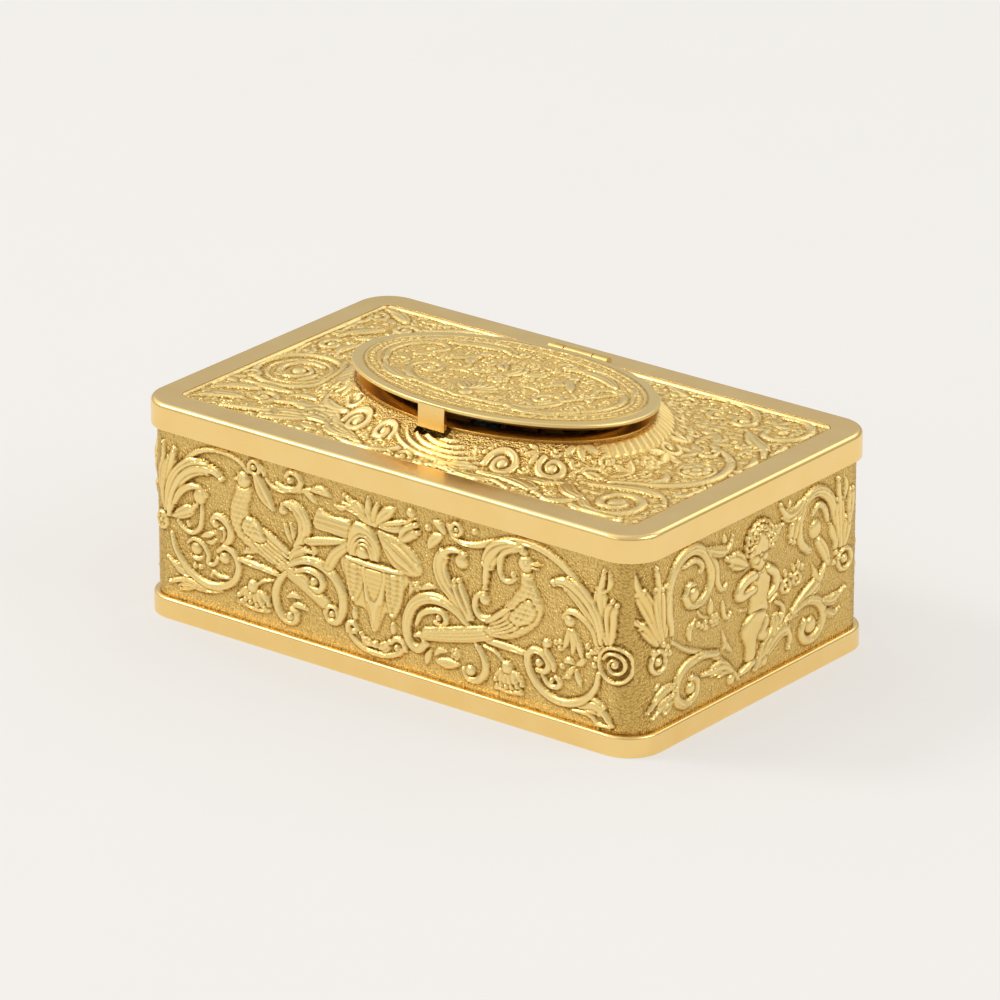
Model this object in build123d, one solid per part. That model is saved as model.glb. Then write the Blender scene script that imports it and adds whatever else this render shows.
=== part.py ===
from build123d import *
import os
from math import acos, atan2, cos, degrees, hypot, pi, radians, sin, tan

# Singing-bird music box: a gilt rectangular case with an oval lid, a small bird that stands up
# when the lid opens, and a spring-driven movement with bellows, whistle and cams below it.
# Millimetres. X runs along the front, Y to the rear, Z up, and the origin is under the case's middle.

# Case
case_length = 104.0
case_width = 65.0
corner_radius = 6.3
base_height = 3.6
base_lip = 3.0
base_ledge = 7.5
base_screw_inset = 5.8
base_plate_gap = 0.8
base_plate_thickness = 1.4
base_edge_radius = 0.5
wall_height = 29.8
wall_inset = 1.0
wall_thickness = 1.5
band_height = 4.6
band_wall = 3.0
band_cavity = 2.0
band_edge_radius = 0.8
locating_lip_height = 1.5
locating_lip_wall = 0.8
border_x = 5.0
border_y = 5.0
panel_corner = 2.0
panel_ledge = 1.5
panel_recess = 0.4
panel_thickness = 1.2

# Oval collar, well, grille and lid
well_a = 24.5
well_b = 14.7
well_wall = 1.0
well_depth = 8.3
well_flange = 2.1
well_flange_thickness = 0.3
grille_ledge_width = 1.2
grille_ledge_height = 0.6
grille_thickness = 0.8
collar_height = 3.4
collar_foot = 9.5
lid_a = 28.6
lid_b = 18.8
lid_thickness = 1.3
lid_bevel_height = 0.75
lid_bevel_depth = 1.2
lid_seat_gap = 0.15
lid_field_rise = 0.3
lid_border = 1.8
lid_rebate_depth = 0.6
lid_rebate_gap = 0.6
lid_ajar = 3.0
tongue_width = 5.4
tongue_length = 2.8
tongue_thickness = 0.8
tongue_gap = 0.5

# Lid hinge
hinge_setback = 1.3
hinge_pin_radius = 0.35
hinge_knuckle_radius = 0.85
hinge_strap_thickness = 0.9
hinge_centre_length = 5.8
hinge_side_length = 3.0
hinge_side_gap = 0.2
hinge_foot_depth = 2.8
hinge_foot_thickness = 1.8

# Clearances
slip = 0.05
ease = 0.15

# Movement plates
lower_plate_low = 5.0
plate_thickness = 1.4
plate_spacing = 17.6
plate_end_gap = 5.5
plate_side_gap = 5.5
plate_corner = 3.0
pillar_radius = 1.7
pillar_inset = 2.2
screw_radius = 0.9
screw_head_radius = 1.6
screw_head_height = 0.7
post_radius = 1.8

# Going train
pressure_angle = radians(20)
tooth_addendum = 0.85
tooth_dedendum = 1.2
tooth_backlash = 0.22
barrel_inset = 23.0
barrel_y = -1.0
barrel_radius = 13.0
barrel_wall = 0.9
barrel_height = 10.0
barrel_lift = 1.6
great_module = 0.5
great_teeth = 60
great_thickness = 1.2
second_pinion_teeth = 12
second_bearing = 20.0
second_teeth = 48
second_module = 0.5
second_wheel_thickness = 0.9
third_pinion_teeth = 12
third_bearing = -45.0
third_teeth = 50
third_module = 0.4
third_wheel_thickness = 0.8
fly_pinion_teeth = 8
fly_bearing = 55.0
arbor_radius = 0.9
barrel_arbor_radius = 2.0
pivot_radius = 0.6
barrel_pivot_radius = 1.5
winding_square = 2.4
winding_hole_radius = 3.4
ratchet_teeth = 24
ratchet_radius = 5.4
ratchet_thickness = 0.9
spring_turns = 6
spring_strip = 0.35
fly_radius = 4.4
fly_vane_height = 8.0
fly_vane_thickness = 0.4

# Cams, levers, whistle and bellows
cam_radius = 7.4
cam_lift = 1.1
cam_thickness = 0.8
cam_pitch = 1.7
cam_count = 3
lever_thickness = 0.8
lever_width = 1.8
lever_pin_radius = 0.6
crank_radius = 1.0
crank_disc_radius = 2.6
crank_pin_radius = 0.6
rod_width = 2.0
rod_thickness = 1.2
eye_half_length = 2.9
eye_half_width = 1.9
eye_wall = 1.0
eye_reach = 8.0
bellows_inset = 20.3
bellows_to_whistle = 6.5
bellows_front_gap = 7.0
bellows_height = 14.4
bellows_depth = 13.2
board_thickness = 1.4
leather_wall = 0.8
leather_pleats = 4
leather_inset = 0.6
leather_fold = 1.3
whistle_side_gap = 8.5
whistle_run = 22.1
chest_length = 12.3
whistle_outer = 3.0
whistle_bore = 2.2
piston_length = 6.0
chest_half_height = 5.0
piston_rod_radius = 0.6

# Start slide on the left end wall
slide_z = 17.0
slide_travel = 3.0
slide_slot_height = 2.0
slide_shank_width = 3.0
slide_knob_width = 5.0
slide_knob_height = 3.2
slide_plate_width = 12.0
slide_plate_height = 5.0
slide_plate_thickness = 0.8
slide_tab_width = 2.0
slide_tab_depth = 1.6
rail_height = 0.9
rail_depth = 1.3

# Bird
pivot_y = 3.5
pivot_rise = 1.4
pivot_pin_radius = 0.5
ear_thickness = 0.8
ear_radius = 1.3
ear_x = 5.0
carrier_radius = 1.1
carrier_half_length = 4.5
post_height = 3.0
perch_radius = 0.7
bird_length = 10.2
bird_girth = 2.9
bird_lean = 22.0
head_radius = 2.0
wing_length = 6.4
wing_thickness = 0.8
wing_depth = 3.2
grille_slot_half_width = 4.7
grille_slot_front = -12.4
grille_slot_back = 1.9

# Levels and places worked out from the sizes above
plate_length = case_length - 2 * plate_end_gap
plate_width = case_width - 2 * plate_side_gap
barrel_x = -case_length / 2 + barrel_inset
bellows_x = case_length / 2 - bellows_inset
whistle_y = plate_width / 2 - whistle_side_gap
bellows_hinge_y = whistle_y - bellows_to_whistle
bellows_length = bellows_hinge_y + plate_width / 2 - bellows_front_gap
wall_low = base_height
wall_high = wall_low + wall_height
band_high = wall_high + band_height
panel_top = band_high - panel_recess
panel_low = panel_top - panel_thickness
panel_length = case_length - 2 * border_x
panel_width = case_width - 2 * border_y
collar_top = panel_top + collar_height
seat_z = collar_top + well_flange_thickness
well_low = seat_z - well_depth
ledge_top = well_low + grille_ledge_height
grille_top = ledge_top + grille_thickness
lid_low = seat_z + lid_seat_gap
lid_high = lid_low + lid_thickness
hinge_y = lid_b + hinge_setback
hinge_z = lid_low + hinge_strap_thickness / 2
lower_plate_high = lower_plate_low + plate_thickness
upper_plate_low = lower_plate_high + plate_spacing
upper_plate_high = upper_plate_low + plate_thickness
barrel_low = lower_plate_high + barrel_lift
barrel_high = barrel_low + barrel_height
great_low = barrel_high + barrel_wall
great_high = great_low + great_thickness
great_pitch = great_module * great_teeth / 2
second_pinion_pitch = great_module * second_pinion_teeth / 2
second_x = barrel_x + (great_pitch + second_pinion_pitch) * cos(radians(second_bearing))
second_y = barrel_y + (great_pitch + second_pinion_pitch) * sin(radians(second_bearing))
second_wheel_high = upper_plate_low - 1.1
second_wheel_low = second_wheel_high - second_wheel_thickness
second_pitch = second_module * second_teeth / 2
third_pinion_pitch = second_module * third_pinion_teeth / 2
third_x = second_x + (second_pitch + third_pinion_pitch) * cos(radians(third_bearing))
third_y = second_y + (second_pitch + third_pinion_pitch) * sin(radians(third_bearing))
third_low = lower_plate_high + 2.6
third_high = third_low + third_wheel_thickness
third_pitch = third_module * third_teeth / 2
fly_pinion_pitch = third_module * fly_pinion_teeth / 2
fly_x = third_x + (third_pitch + fly_pinion_pitch) * cos(radians(fly_bearing))
fly_y = third_y + (third_pitch + fly_pinion_pitch) * sin(radians(fly_bearing))
cam_low = upper_plate_high + 0.9
cam_high = cam_low + (cam_count - 1) * cam_pitch + cam_thickness
crank_low = third_high + 4.2
rod_low = crank_low + 1.2
bellows_low = lower_plate_high + 1.6
bellows_high = bellows_low + bellows_height
bellows_mid = (bellows_low + bellows_high) / 2
fixed_board_x = bellows_x + bellows_depth + board_thickness
whistle_left = second_x + whistle_run
whistle_length = fixed_board_x - chest_length - whistle_left
whistle_z = bellows_mid
pivot_z = grille_top + pivot_rise
inner_wall_x = case_length / 2 - wall_inset - wall_thickness
outer_wall_x = case_length / 2 - wall_inset

parts = {}


def slab(face, low, high):
    """A flat face in XY, raised into a plate from low to high."""
    return extrude(Pos(0, 0, low) * face, high - low)


def disc(radius, low, high, x=0.0, y=0.0):
    """An upright cylinder between two levels."""
    return Pos(x, y, (low + high) / 2) * Cylinder(radius, high - low)


def bar(low, high):
    """A box between two corners."""
    size = [b - a for a, b in zip(low, high)]
    middle = [(a + b) / 2 for a, b in zip(low, high)]
    return Pos(*middle) * Box(*size)


def rod_x(radius, start, end, y, z):
    """A cylinder along X."""
    return Pos((start + end) / 2, y, z) * (Rot(0, 90, 0) * Cylinder(radius, end - start))


def rounded(inset, low, high):
    """The case's rounded rectangle, taken in by inset, as a plate between two levels."""
    outline = RectangleRounded(
        case_length - 2 * inset, case_width - 2 * inset, max(corner_radius - inset, 0.8)
    )
    return slab(outline, low, high)


def oval(a, b, low, high):
    """An oval plate between two levels."""
    return slab(Ellipse(a, b), low, high)


def gear(teeth, module, low, high, bore, phase=0.0):
    """A spur wheel with involute flanks above its base circle and radial ones below it."""
    pitch = module * teeth / 2
    base = pitch * cos(pressure_angle)
    tip = pitch + tooth_addendum * module
    root = pitch - tooth_dedendum * module
    half = pi / (2 * teeth) * (1 - tooth_backlash)

    def half_angle(radius):
        angle = acos(base / max(radius, base))
        return half + (tan(pressure_angle) - pressure_angle) - (tan(angle) - angle)

    radii = [root, (root + pitch) / 2, pitch, (pitch + tip) / 2, tip]
    points = []
    for tooth in range(teeth):
        centre = phase + 2 * pi * tooth / teeth
        flank = [(r, centre - half_angle(r)) for r in radii]
        flank += [(r, centre + half_angle(r)) for r in reversed(radii)]
        points += [(r * cos(a), r * sin(a)) for r, a in flank]
    outline = make_face(Polyline(*points, close=True))
    return slab(outline - Circle(bore), low, high)


def mesh_phase(teeth, phase, bearing, partner_teeth):
    """The partner's phase that puts its gap on the wheel's tooth along the line of centres."""
    share = (bearing - phase) * teeth / (2 * pi)
    return bearing + pi - (0.5 - share) * 2 * pi / partner_teeth


def spokes(count, inner, outer, width, low, high):
    """Windows between a wheel's spokes, as one solid to cut away."""
    ring = disc(outer, low - 1, high + 1) - disc(inner, low - 2, high + 2)
    for k in range(count):
        arm = Pos((inner + outer) / 2, 0, (low + high) / 2) * Box(
            outer - inner + 2, width, high - low + 4
        )
        ring -= Rot(0, 0, 360 * k / count) * arm
    return ring


def screw(x, y, head_low, down):
    """A slotted screw. Its head starts at head_low, and its shank runs up, or down if down is a length."""
    head = disc(screw_head_radius, head_low, head_low + screw_head_height, x, y)
    if down > 0:
        shank = disc(screw_radius, head_low - down, head_low, x, y)
        slot_z = head_low + screw_head_height
    else:
        shank = disc(screw_radius, head_low + screw_head_height, head_low + screw_head_height - down, x, y)
        slot_z = head_low
    slot = Pos(x, y, slot_z) * Box(2 * screw_head_radius + 1, 0.4, 0.6)
    return head + shank - slot


def corners(dx, dy):
    """Four places, one in each quarter."""
    return [(sx * dx, sy * dy) for sx in (-1, 1) for sy in (-1, 1)]


def tilt(shape, angle):
    """The lid's parts, opened about the lid hinge by angle degrees."""
    return Pos(0, hinge_y, hinge_z) * (Rot(-angle, 0, 0) * (Pos(0, -hinge_y, -hinge_z) * shape))


def perched(shape):
    """The bird's parts, drawn standing at the pivot, laid down in the well."""
    return Pos(0, pivot_y, pivot_z) * (Rot(90 - lid_ajar, 0, 0) * shape)


# Case shell

base_plate_low = base_plate_gap
base_plate_high = base_plate_low + base_plate_thickness
base_screw_x = case_length / 2 - base_screw_inset
base_screw_y = case_width / 2 - base_screw_inset


def build_base():
    moulding = rounded(0, 0, base_height)
    rim = moulding.edges().group_by(Axis.Z)[-1]
    moulding = fillet(rim, base_edge_radius)
    moulding -= rounded(base_lip, -1, base_plate_high)
    moulding -= rounded(base_ledge, -1, base_height + 1)
    plate = rounded(base_lip + slip, base_plate_low, base_plate_high)
    screws = []
    for x, y in corners(base_screw_x, base_screw_y):
        plate -= disc(screw_head_radius + slip, -1, base_plate_low + screw_head_height, x, y)
        plate -= disc(screw_radius + slip, -1, base_plate_high + 1, x, y)
        moulding -= disc(screw_radius + slip, 0, base_height - 0.3, x, y)
        screws.append(screw(x, y, base_plate_low, -(base_height - 0.6 - base_plate_low - screw_head_height)))
    plate -= disc(winding_hole_radius, -1, base_plate_high + 1, barrel_x, barrel_y)
    vent_length, vent_width, vent_pitch = 22.0, 1.6, 4.0
    for k in range(-3, 4):
        plate -= Pos(22, k * vent_pitch, base_plate_low) * Box(vent_length, vent_width, 6)
    parts["base_moulding"] = moulding
    parts["base_plate"] = plate
    parts["base_screws"] = Compound(children=screws)


def build_wall():
    wall = rounded(wall_inset, wall_low, wall_high)
    wall -= rounded(wall_inset + wall_thickness, wall_low - 1, wall_high + 1)
    half = slide_shank_width / 2 + 2 * slip
    wall -= bar(
        (-outer_wall_x - 1, -half, slide_z - slide_slot_height / 2),
        (-inner_wall_x + 1, half + slide_travel, slide_z + slide_slot_height / 2),
    )
    parts["case_wall"] = wall


def panel_outline(inset, low, high):
    outline = RectangleRounded(
        panel_length - 2 * inset, panel_width - 2 * inset, max(panel_corner - inset, 0.5)
    )
    return slab(outline, low, high)


rivet_radius = 0.5
rivet_x = panel_length / 2 - 1.5
rivet_y = panel_width / 2 - 1.5


def build_top():
    frame = rounded(0, wall_high, band_high)
    frame = fillet(frame.edges().group_by(Axis.Z)[-1], band_edge_radius)
    frame -= rounded(band_wall, wall_high - 1, wall_high + band_cavity)
    frame -= panel_outline(panel_ledge, wall_high - 1, band_high + 1)
    frame -= panel_outline(0, panel_low, band_high + 1)
    lip = rounded(wall_inset + wall_thickness + slip, wall_high - locating_lip_height, wall_high + 0.2)
    lip -= rounded(
        wall_inset + wall_thickness + slip + locating_lip_wall,
        wall_high - locating_lip_height - 1,
        wall_high + 1,
    )
    frame += lip
    panel = panel_outline(slip, panel_low, panel_top)
    foot = Pos(0, 0, panel_top) * Ellipse(well_a + well_wall + collar_foot, well_b + well_wall + collar_foot)
    brow = Pos(0, 0, collar_top) * Ellipse(well_a + well_flange + 1.2, well_b + well_flange + 1.2)
    panel += loft([foot, brow], ruled=True)
    well_hole_a = well_a + well_wall + slip
    well_hole_b = well_b + well_wall + slip
    panel -= oval(well_hole_a, well_hole_b, panel_low - 1, collar_top + 1)
    tongue_low = lid_low - tongue_length - tongue_gap
    panel -= bar(
        (-tongue_width / 2 - tongue_gap, -lid_b - tongue_thickness - tongue_gap, tongue_low),
        (tongue_width / 2 + tongue_gap, -lid_b + tongue_gap + 0.2, collar_top + 1),
    )
    half = hinge_half_length()
    panel -= bar(
        (-half - 2 * slip, hinge_y - hinge_knuckle_radius, hinge_foot_low),
        (half + 2 * slip, hinge_y + case_width, collar_top + 1),
    )
    rivets = []
    for x, y in corners(rivet_x, rivet_y):
        panel -= disc(rivet_radius + slip, panel_low - 1, panel_top + 1, x, y)
        frame -= disc(rivet_radius + slip, panel_low - 0.7, panel_low + 0.1, x, y)
        rivets.append(disc(rivet_radius, panel_low - 0.6, panel_top + 0.2, x, y))
    parts["top_frame"] = frame
    parts["top_panel"] = panel
    parts["panel_rivets"] = Compound(children=rivets)


def hinge_half_length():
    return hinge_centre_length / 2 + hinge_side_gap + hinge_side_length


hinge_foot_low = hinge_z - hinge_knuckle_radius - ease - hinge_foot_thickness
hinge_foot_high = hinge_foot_low + hinge_foot_thickness


def build_well():
    well = oval(well_a + well_wall, well_b + well_wall, well_low, seat_z)
    well += oval(well_a + well_flange + well_wall, well_b + well_flange + well_wall, collar_top, seat_z)
    well -= oval(well_a, well_b, ledge_top, seat_z + 1)
    well -= oval(well_a - grille_ledge_width, well_b - grille_ledge_width, well_low - 1, seat_z)
    parts["oval_well"] = well

    grille = oval(well_a - slip, well_b - slip, ledge_top, grille_top)
    grille -= bar(
        (-grille_slot_half_width, grille_slot_front, ledge_top - 1),
        (grille_slot_half_width, grille_slot_back, grille_top + 1),
    )
    for side in (-1, 1):
        for column in range(4):
            x = side * (8.0 + 3.8 * column)
            reach = (well_b - 3.0) * (1 - (x / (well_a - 1.0)) ** 2) ** 0.5
            slot_count = max(1, int(2 * reach / 5.0))
            for k in range(slot_count):
                y = (k - (slot_count - 1) / 2) * 5.0
                grille -= Pos(x, y, ledge_top) * extrude(SlotOverall(3.6, 1.7, rotation=90), 4, both=True)
    bracket = []
    for side in (-1, 1):
        inner, outer = side * ear_x, side * (ear_x + ear_thickness)
        ear = bar(
            (min(inner, outer), pivot_y - ear_radius, grille_top),
            (max(inner, outer), pivot_y + ear_radius, pivot_z),
        )
        ear += rod_x(ear_radius, min(inner, outer), max(inner, outer), pivot_y, pivot_z)
        ear -= rod_x(pivot_pin_radius, min(inner, outer) - 1, max(inner, outer) + 1, pivot_y, pivot_z)
        bracket.append(ear)
    parts["grille"] = grille
    parts["bird_ears"] = Compound(children=bracket)
    reach = ear_x + ear_thickness
    parts["bird_pivot_pin"] = rod_x(pivot_pin_radius, -reach, reach, pivot_y, pivot_z)


def build_hinge():
    half = hinge_half_length()
    foot = bar(
        (-half, hinge_y - hinge_knuckle_radius + slip, hinge_foot_low),
        (half, hinge_y + hinge_foot_depth - hinge_knuckle_radius, hinge_foot_high),
    )
    bracket = foot
    for side in (-1, 1):
        near = side * (hinge_centre_length / 2 + hinge_side_gap)
        far = side * half
        start, end = min(near, far), max(near, far)
        knuckle = rod_x(hinge_knuckle_radius, start, end, hinge_y, hinge_z)
        web = bar((start, hinge_y - 0.7, hinge_foot_low + 0.1), (end, hinge_y + 0.7, hinge_z))
        bracket += knuckle + web
        bracket -= rod_x(hinge_pin_radius, start - 1, end + 1, hinge_y, hinge_z)
    parts["hinge_bracket"] = bracket
    parts["hinge_pin"] = rod_x(hinge_pin_radius, -half, half, hinge_y, hinge_z)


def build_lid():
    lid = oval(lid_a, lid_b, lid_low, lid_high)
    lid = chamfer(lid.edges().group_by(Axis.Z)[0], lid_bevel_height, lid_bevel_depth)
    lid = fillet(lid.edges().group_by(Axis.Z)[-1], 0.3)
    lid += oval(lid_a - lid_border, lid_b - lid_border, lid_high - 0.2, lid_high + lid_field_rise)
    rebate_a = well_a - lid_rebate_gap
    rebate_b = well_b - lid_rebate_gap
    lid += oval(rebate_a, rebate_b, lid_low - lid_rebate_depth, lid_low + 0.2)
    lid -= oval(rebate_a - 1.0, rebate_b - 1.0, lid_low - lid_rebate_depth - 1, lid_low)
    half = hinge_centre_length / 2
    knuckle = rod_x(hinge_knuckle_radius, -half, half, hinge_y, hinge_z)
    strap = bar((-half, lid_b - 1.6, lid_low), (half, hinge_y, lid_low + hinge_strap_thickness))
    knuckle = knuckle + strap
    knuckle -= rod_x(hinge_pin_radius + slip, -half - 1, half + 1, hinge_y, hinge_z)
    lid -= strap
    lid -= rod_x(hinge_knuckle_radius, -half, half, hinge_y, hinge_z)
    tongue = bar(
        (-tongue_width / 2, -lid_b - tongue_thickness + 0.2, lid_low - tongue_length),
        (tongue_width / 2, -lid_b + 0.2, lid_high - 0.1),
    )
    lid -= tongue
    parts["oval_lid"] = tilt(lid, lid_ajar)
    parts["lid_knuckle"] = tilt(knuckle, lid_ajar)
    parts["lid_tongue"] = tilt(tongue, lid_ajar)


# Movement

barrel_phase = 0.0
second_pinion_phase = mesh_phase(great_teeth, barrel_phase, radians(second_bearing), second_pinion_teeth)
second_wheel_phase = second_pinion_phase
third_pinion_phase = mesh_phase(
    second_teeth, second_wheel_phase, radians(third_bearing), third_pinion_teeth
)
third_wheel_phase = third_pinion_phase
fly_pinion_phase = mesh_phase(third_teeth, third_wheel_phase, radians(fly_bearing), fly_pinion_teeth)
pillar_spots = corners(plate_length / 2 - pillar_inset, plate_width / 2 - pillar_inset)
post_y = plate_width / 2 - 4.5
bracket_spots = [
    (-plate_length / 2 + 12.5, post_y),
    (-plate_length / 2 + 26.5, -post_y),
    (-2.0, -post_y),
    (plate_length / 2 - 22.5, -post_y),
]
piston_pin_x = whistle_left - 5.0
pitch_pivot = (second_x + 18.1, second_y + 6.85)
valve_pivot = (second_x + 26.1, second_y + 9.85)
valve_pin = (whistle_left + whistle_length + 4.0, whistle_y)
valve_swing = 2.6
stop_pivot = (barrel_x + 4.0, barrel_y - 8.0)
stop_low = upper_plate_high + 0.6
stop_clear = fly_radius + lever_pin_radius + ease
stop_pin = (fly_x + 0.4 * stop_clear, fly_y - 0.917 * stop_clear)
stop_tail = (-inner_wall_x + 1.7, slide_tab_width / 2 + lever_width / 2 + ease)
stop_swing = slide_travel / (stop_pivot[0] - stop_tail[0])


def plate(low, high):
    body = slab(RectangleRounded(plate_length, plate_width, plate_corner), low, high)
    for x, y in pillar_spots:
        body -= disc(screw_radius + slip, low - 1, high + 1, x, y)
    for x, y in ((second_x, second_y), (third_x, third_y), (fly_x, fly_y)):
        body -= disc(pivot_radius + slip, low - 1, high + 1, x, y)
    body -= disc(barrel_pivot_radius + slip, low - 1, high + 1, barrel_x, barrel_y)
    return body


def build_plates():
    lower = plate(lower_plate_low, lower_plate_high)
    upper = plate(upper_plate_low, upper_plate_high)
    upper -= disc(arbor_radius + ease, upper_plate_low - 1, upper_plate_high + 1, second_x, second_y)
    upper -= bar(
        (piston_pin_x - 5.0, whistle_y - 1.3, upper_plate_low - 1),
        (piston_pin_x + 5.0, whistle_y + 1.3, upper_plate_high + 1),
    )
    upper -= bar(
        (valve_pin[0] - 1.4, valve_pin[1] - 2.4, upper_plate_low - 1),
        (valve_pin[0] + 1.4, valve_pin[1] + 2.4, upper_plate_high + 1),
    )
    swept = stop_swing * (stop_pin[0] - stop_pivot[0])
    upper -= bar(
        (stop_pin[0] - 1.4, stop_pin[1] - swept - 1.4, upper_plate_low - 1),
        (stop_pin[0] + 2.2, stop_pin[1] + 1.0, upper_plate_high + 1),
    )
    pillars, screws, posts = [], [], []
    for x, y in pillar_spots:
        pillar = disc(pillar_radius, lower_plate_high, upper_plate_low, x, y)
        pillar -= disc(screw_radius + slip, lower_plate_high - 1, lower_plate_high + 3.0, x, y)
        pillar -= disc(screw_radius + slip, upper_plate_low - 3.0, upper_plate_low + 1, x, y)
        pillars.append(pillar)
        screws.append(screw(x, y, upper_plate_high, plate_thickness + 2.6))
        screws.append(screw(x, y, lower_plate_low - screw_head_height, -(plate_thickness + 2.6)))
    for x, y in bracket_spots:
        posts.append(disc(post_radius, upper_plate_high, panel_low, x, y))
    parts["lower_plate"] = lower
    parts["upper_plate"] = upper
    parts["plate_pillars"] = Compound(children=pillars)
    parts["plate_screws"] = Compound(children=screws)
    parts["hanging_posts"] = Compound(children=posts)


def spiral_spring():
    """A flat spring wound from the arbor out to the drum, as one unbroken strip."""
    inner = barrel_arbor_radius + 0.5
    outer = barrel_radius - barrel_wall - 0.6
    samples = 16 * spring_turns
    edges = []
    for offset in (0.0, spring_strip):
        turn = []
        for k in range(samples + 1):
            angle = 2 * pi * spring_turns * k / samples
            radius = inner + (outer - inner) * k / samples + offset
            turn.append((radius * cos(angle), radius * sin(angle)))
        edges.append(turn)
    outline = Polyline(*edges[0], *reversed(edges[1]), close=True)
    print("mainspring gap", round((outer - inner) / spring_turns - spring_strip, 2))
    strip = slab(make_face(outline), barrel_low + barrel_wall + 0.4, barrel_high - 0.4)
    return Pos(barrel_x, barrel_y, 0) * strip


def build_barrel():
    drum = disc(barrel_radius, barrel_low, barrel_high)
    drum -= disc(barrel_radius - barrel_wall, barrel_low + barrel_wall, barrel_high + 1)
    drum -= disc(barrel_arbor_radius + slip, barrel_low - 1, barrel_high)
    cap = disc(barrel_radius, barrel_high, great_low)
    cap -= disc(barrel_arbor_radius + slip, barrel_high - 1, great_low + 1)
    wheel = gear(great_teeth, great_module, great_low, great_high, barrel_arbor_radius + slip, barrel_phase)
    wheel -= spokes(5, 5.0, great_pitch - 3.0, 2.4, great_low, great_high)
    place = Pos(barrel_x, barrel_y, 0)
    parts["barrel_drum"] = place * drum
    parts["barrel_cap"] = place * cap
    parts["great_wheel"] = place * wheel
    parts["mainspring"] = spiral_spring()

    square_low = base_plate_high + 0.4
    ratchet_low = lower_plate_low - 0.4 - ratchet_thickness
    arbor = slab(Rectangle(winding_square, winding_square), square_low, ratchet_low)
    arbor += disc(barrel_pivot_radius, ratchet_low, barrel_low - 0.6)
    arbor += disc(barrel_arbor_radius, barrel_low - 0.6, great_high + 0.6)
    arbor += disc(barrel_pivot_radius, great_high + 0.6, upper_plate_high)
    points = []
    for k in range(ratchet_teeth):
        start = 2 * pi * k / ratchet_teeth
        points.append((ratchet_radius * cos(start), ratchet_radius * sin(start)))
        lead = start + 1.8 * pi / ratchet_teeth
        points.append(((ratchet_radius - 0.8) * cos(lead), (ratchet_radius - 0.8) * sin(lead)))
    ratchet = make_face(Polyline(*points, close=True)) - Circle(barrel_pivot_radius)
    parts["winding_arbor"] = place * arbor
    parts["ratchet_wheel"] = place * slab(ratchet, ratchet_low, ratchet_low + ratchet_thickness)
    click_x = barrel_x + ratchet_radius + 4.5
    stud_top = lower_plate_low
    click = Pos(click_x, barrel_y, 0) * slab(Circle(1.7), ratchet_low, ratchet_low + ratchet_thickness)
    click += bar(
        (click_x - 0.9, barrel_y - 3.6, ratchet_low),
        (click_x + 1.7, barrel_y, ratchet_low + ratchet_thickness),
    )
    nose = barrel_x + ratchet_radius + ease
    click_high = ratchet_low + ratchet_thickness
    click += bar((nose, barrel_y - 3.4, ratchet_low), (click_x, barrel_y - 2.2, click_high))
    click -= disc(0.8 + slip, ratchet_low - 1, ratchet_low + 2, click_x, barrel_y)
    parts["click"] = click
    stud = disc(0.8, ratchet_low - 0.3, stud_top, click_x, barrel_y)
    stud += disc(1.5, ratchet_low - 0.3 - 0.5, ratchet_low - 0.3 + 0.1, click_x, barrel_y)
    parts["click_stud"] = stud
    spring_x = click_x + 1.7 + 3 * ease
    spring = bar((spring_x, barrel_y - 6.0, ratchet_low), (spring_x + 0.4, barrel_y + 6.0, ratchet_low + 0.9))
    spring += bar((spring_x, barrel_y + 4.6, ratchet_low), (spring_x + 3.0, barrel_y + 7.4, lower_plate_low))
    parts["click_spring"] = spring


def build_second():
    place = Pos(second_x, second_y, 0)
    bore = arbor_radius
    pinion = gear(
        second_pinion_teeth, great_module, great_low - 0.5, great_high + 0.5, bore - 0.1, second_pinion_phase
    )
    wheel = gear(second_teeth, second_module, second_wheel_low, second_wheel_high, bore, second_wheel_phase)
    wheel -= spokes(5, 3.4, second_pitch - 2.2, 1.6, second_wheel_low, second_wheel_high)
    arbor = disc(arbor_radius, lower_plate_high + 0.3, cam_high + 0.6)
    arbor += disc(pivot_radius, lower_plate_low, lower_plate_high + 0.4)
    parts["second_wheel"] = place * wheel
    parts["second_arbor"] = place * (arbor + pinion)
    names = ("pitch_cam", "valve_cam", "bird_cam")
    lobes = (5, 7, 3)
    for k, (name, lobe) in enumerate(zip(names, lobes)):
        low = cam_low + k * cam_pitch
        points = []
        for step in range(48):
            angle = 2 * pi * step / 48
            wave = (1 + cos(lobe * angle)) / 2
            radius = cam_radius - cam_lift * (1 - wave)
            points.append((radius * cos(angle), radius * sin(angle)))
        outline = make_face(Spline(*points, periodic=True)) - Circle(arbor_radius)
        cam = slab(outline, low, low + cam_thickness)
        if k < cam_count - 1:
            collar = disc(2.2, low + cam_thickness, low + cam_pitch)
            cam += collar - disc(arbor_radius, low, low + cam_pitch + 1)
        parts[name] = place * cam


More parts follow.
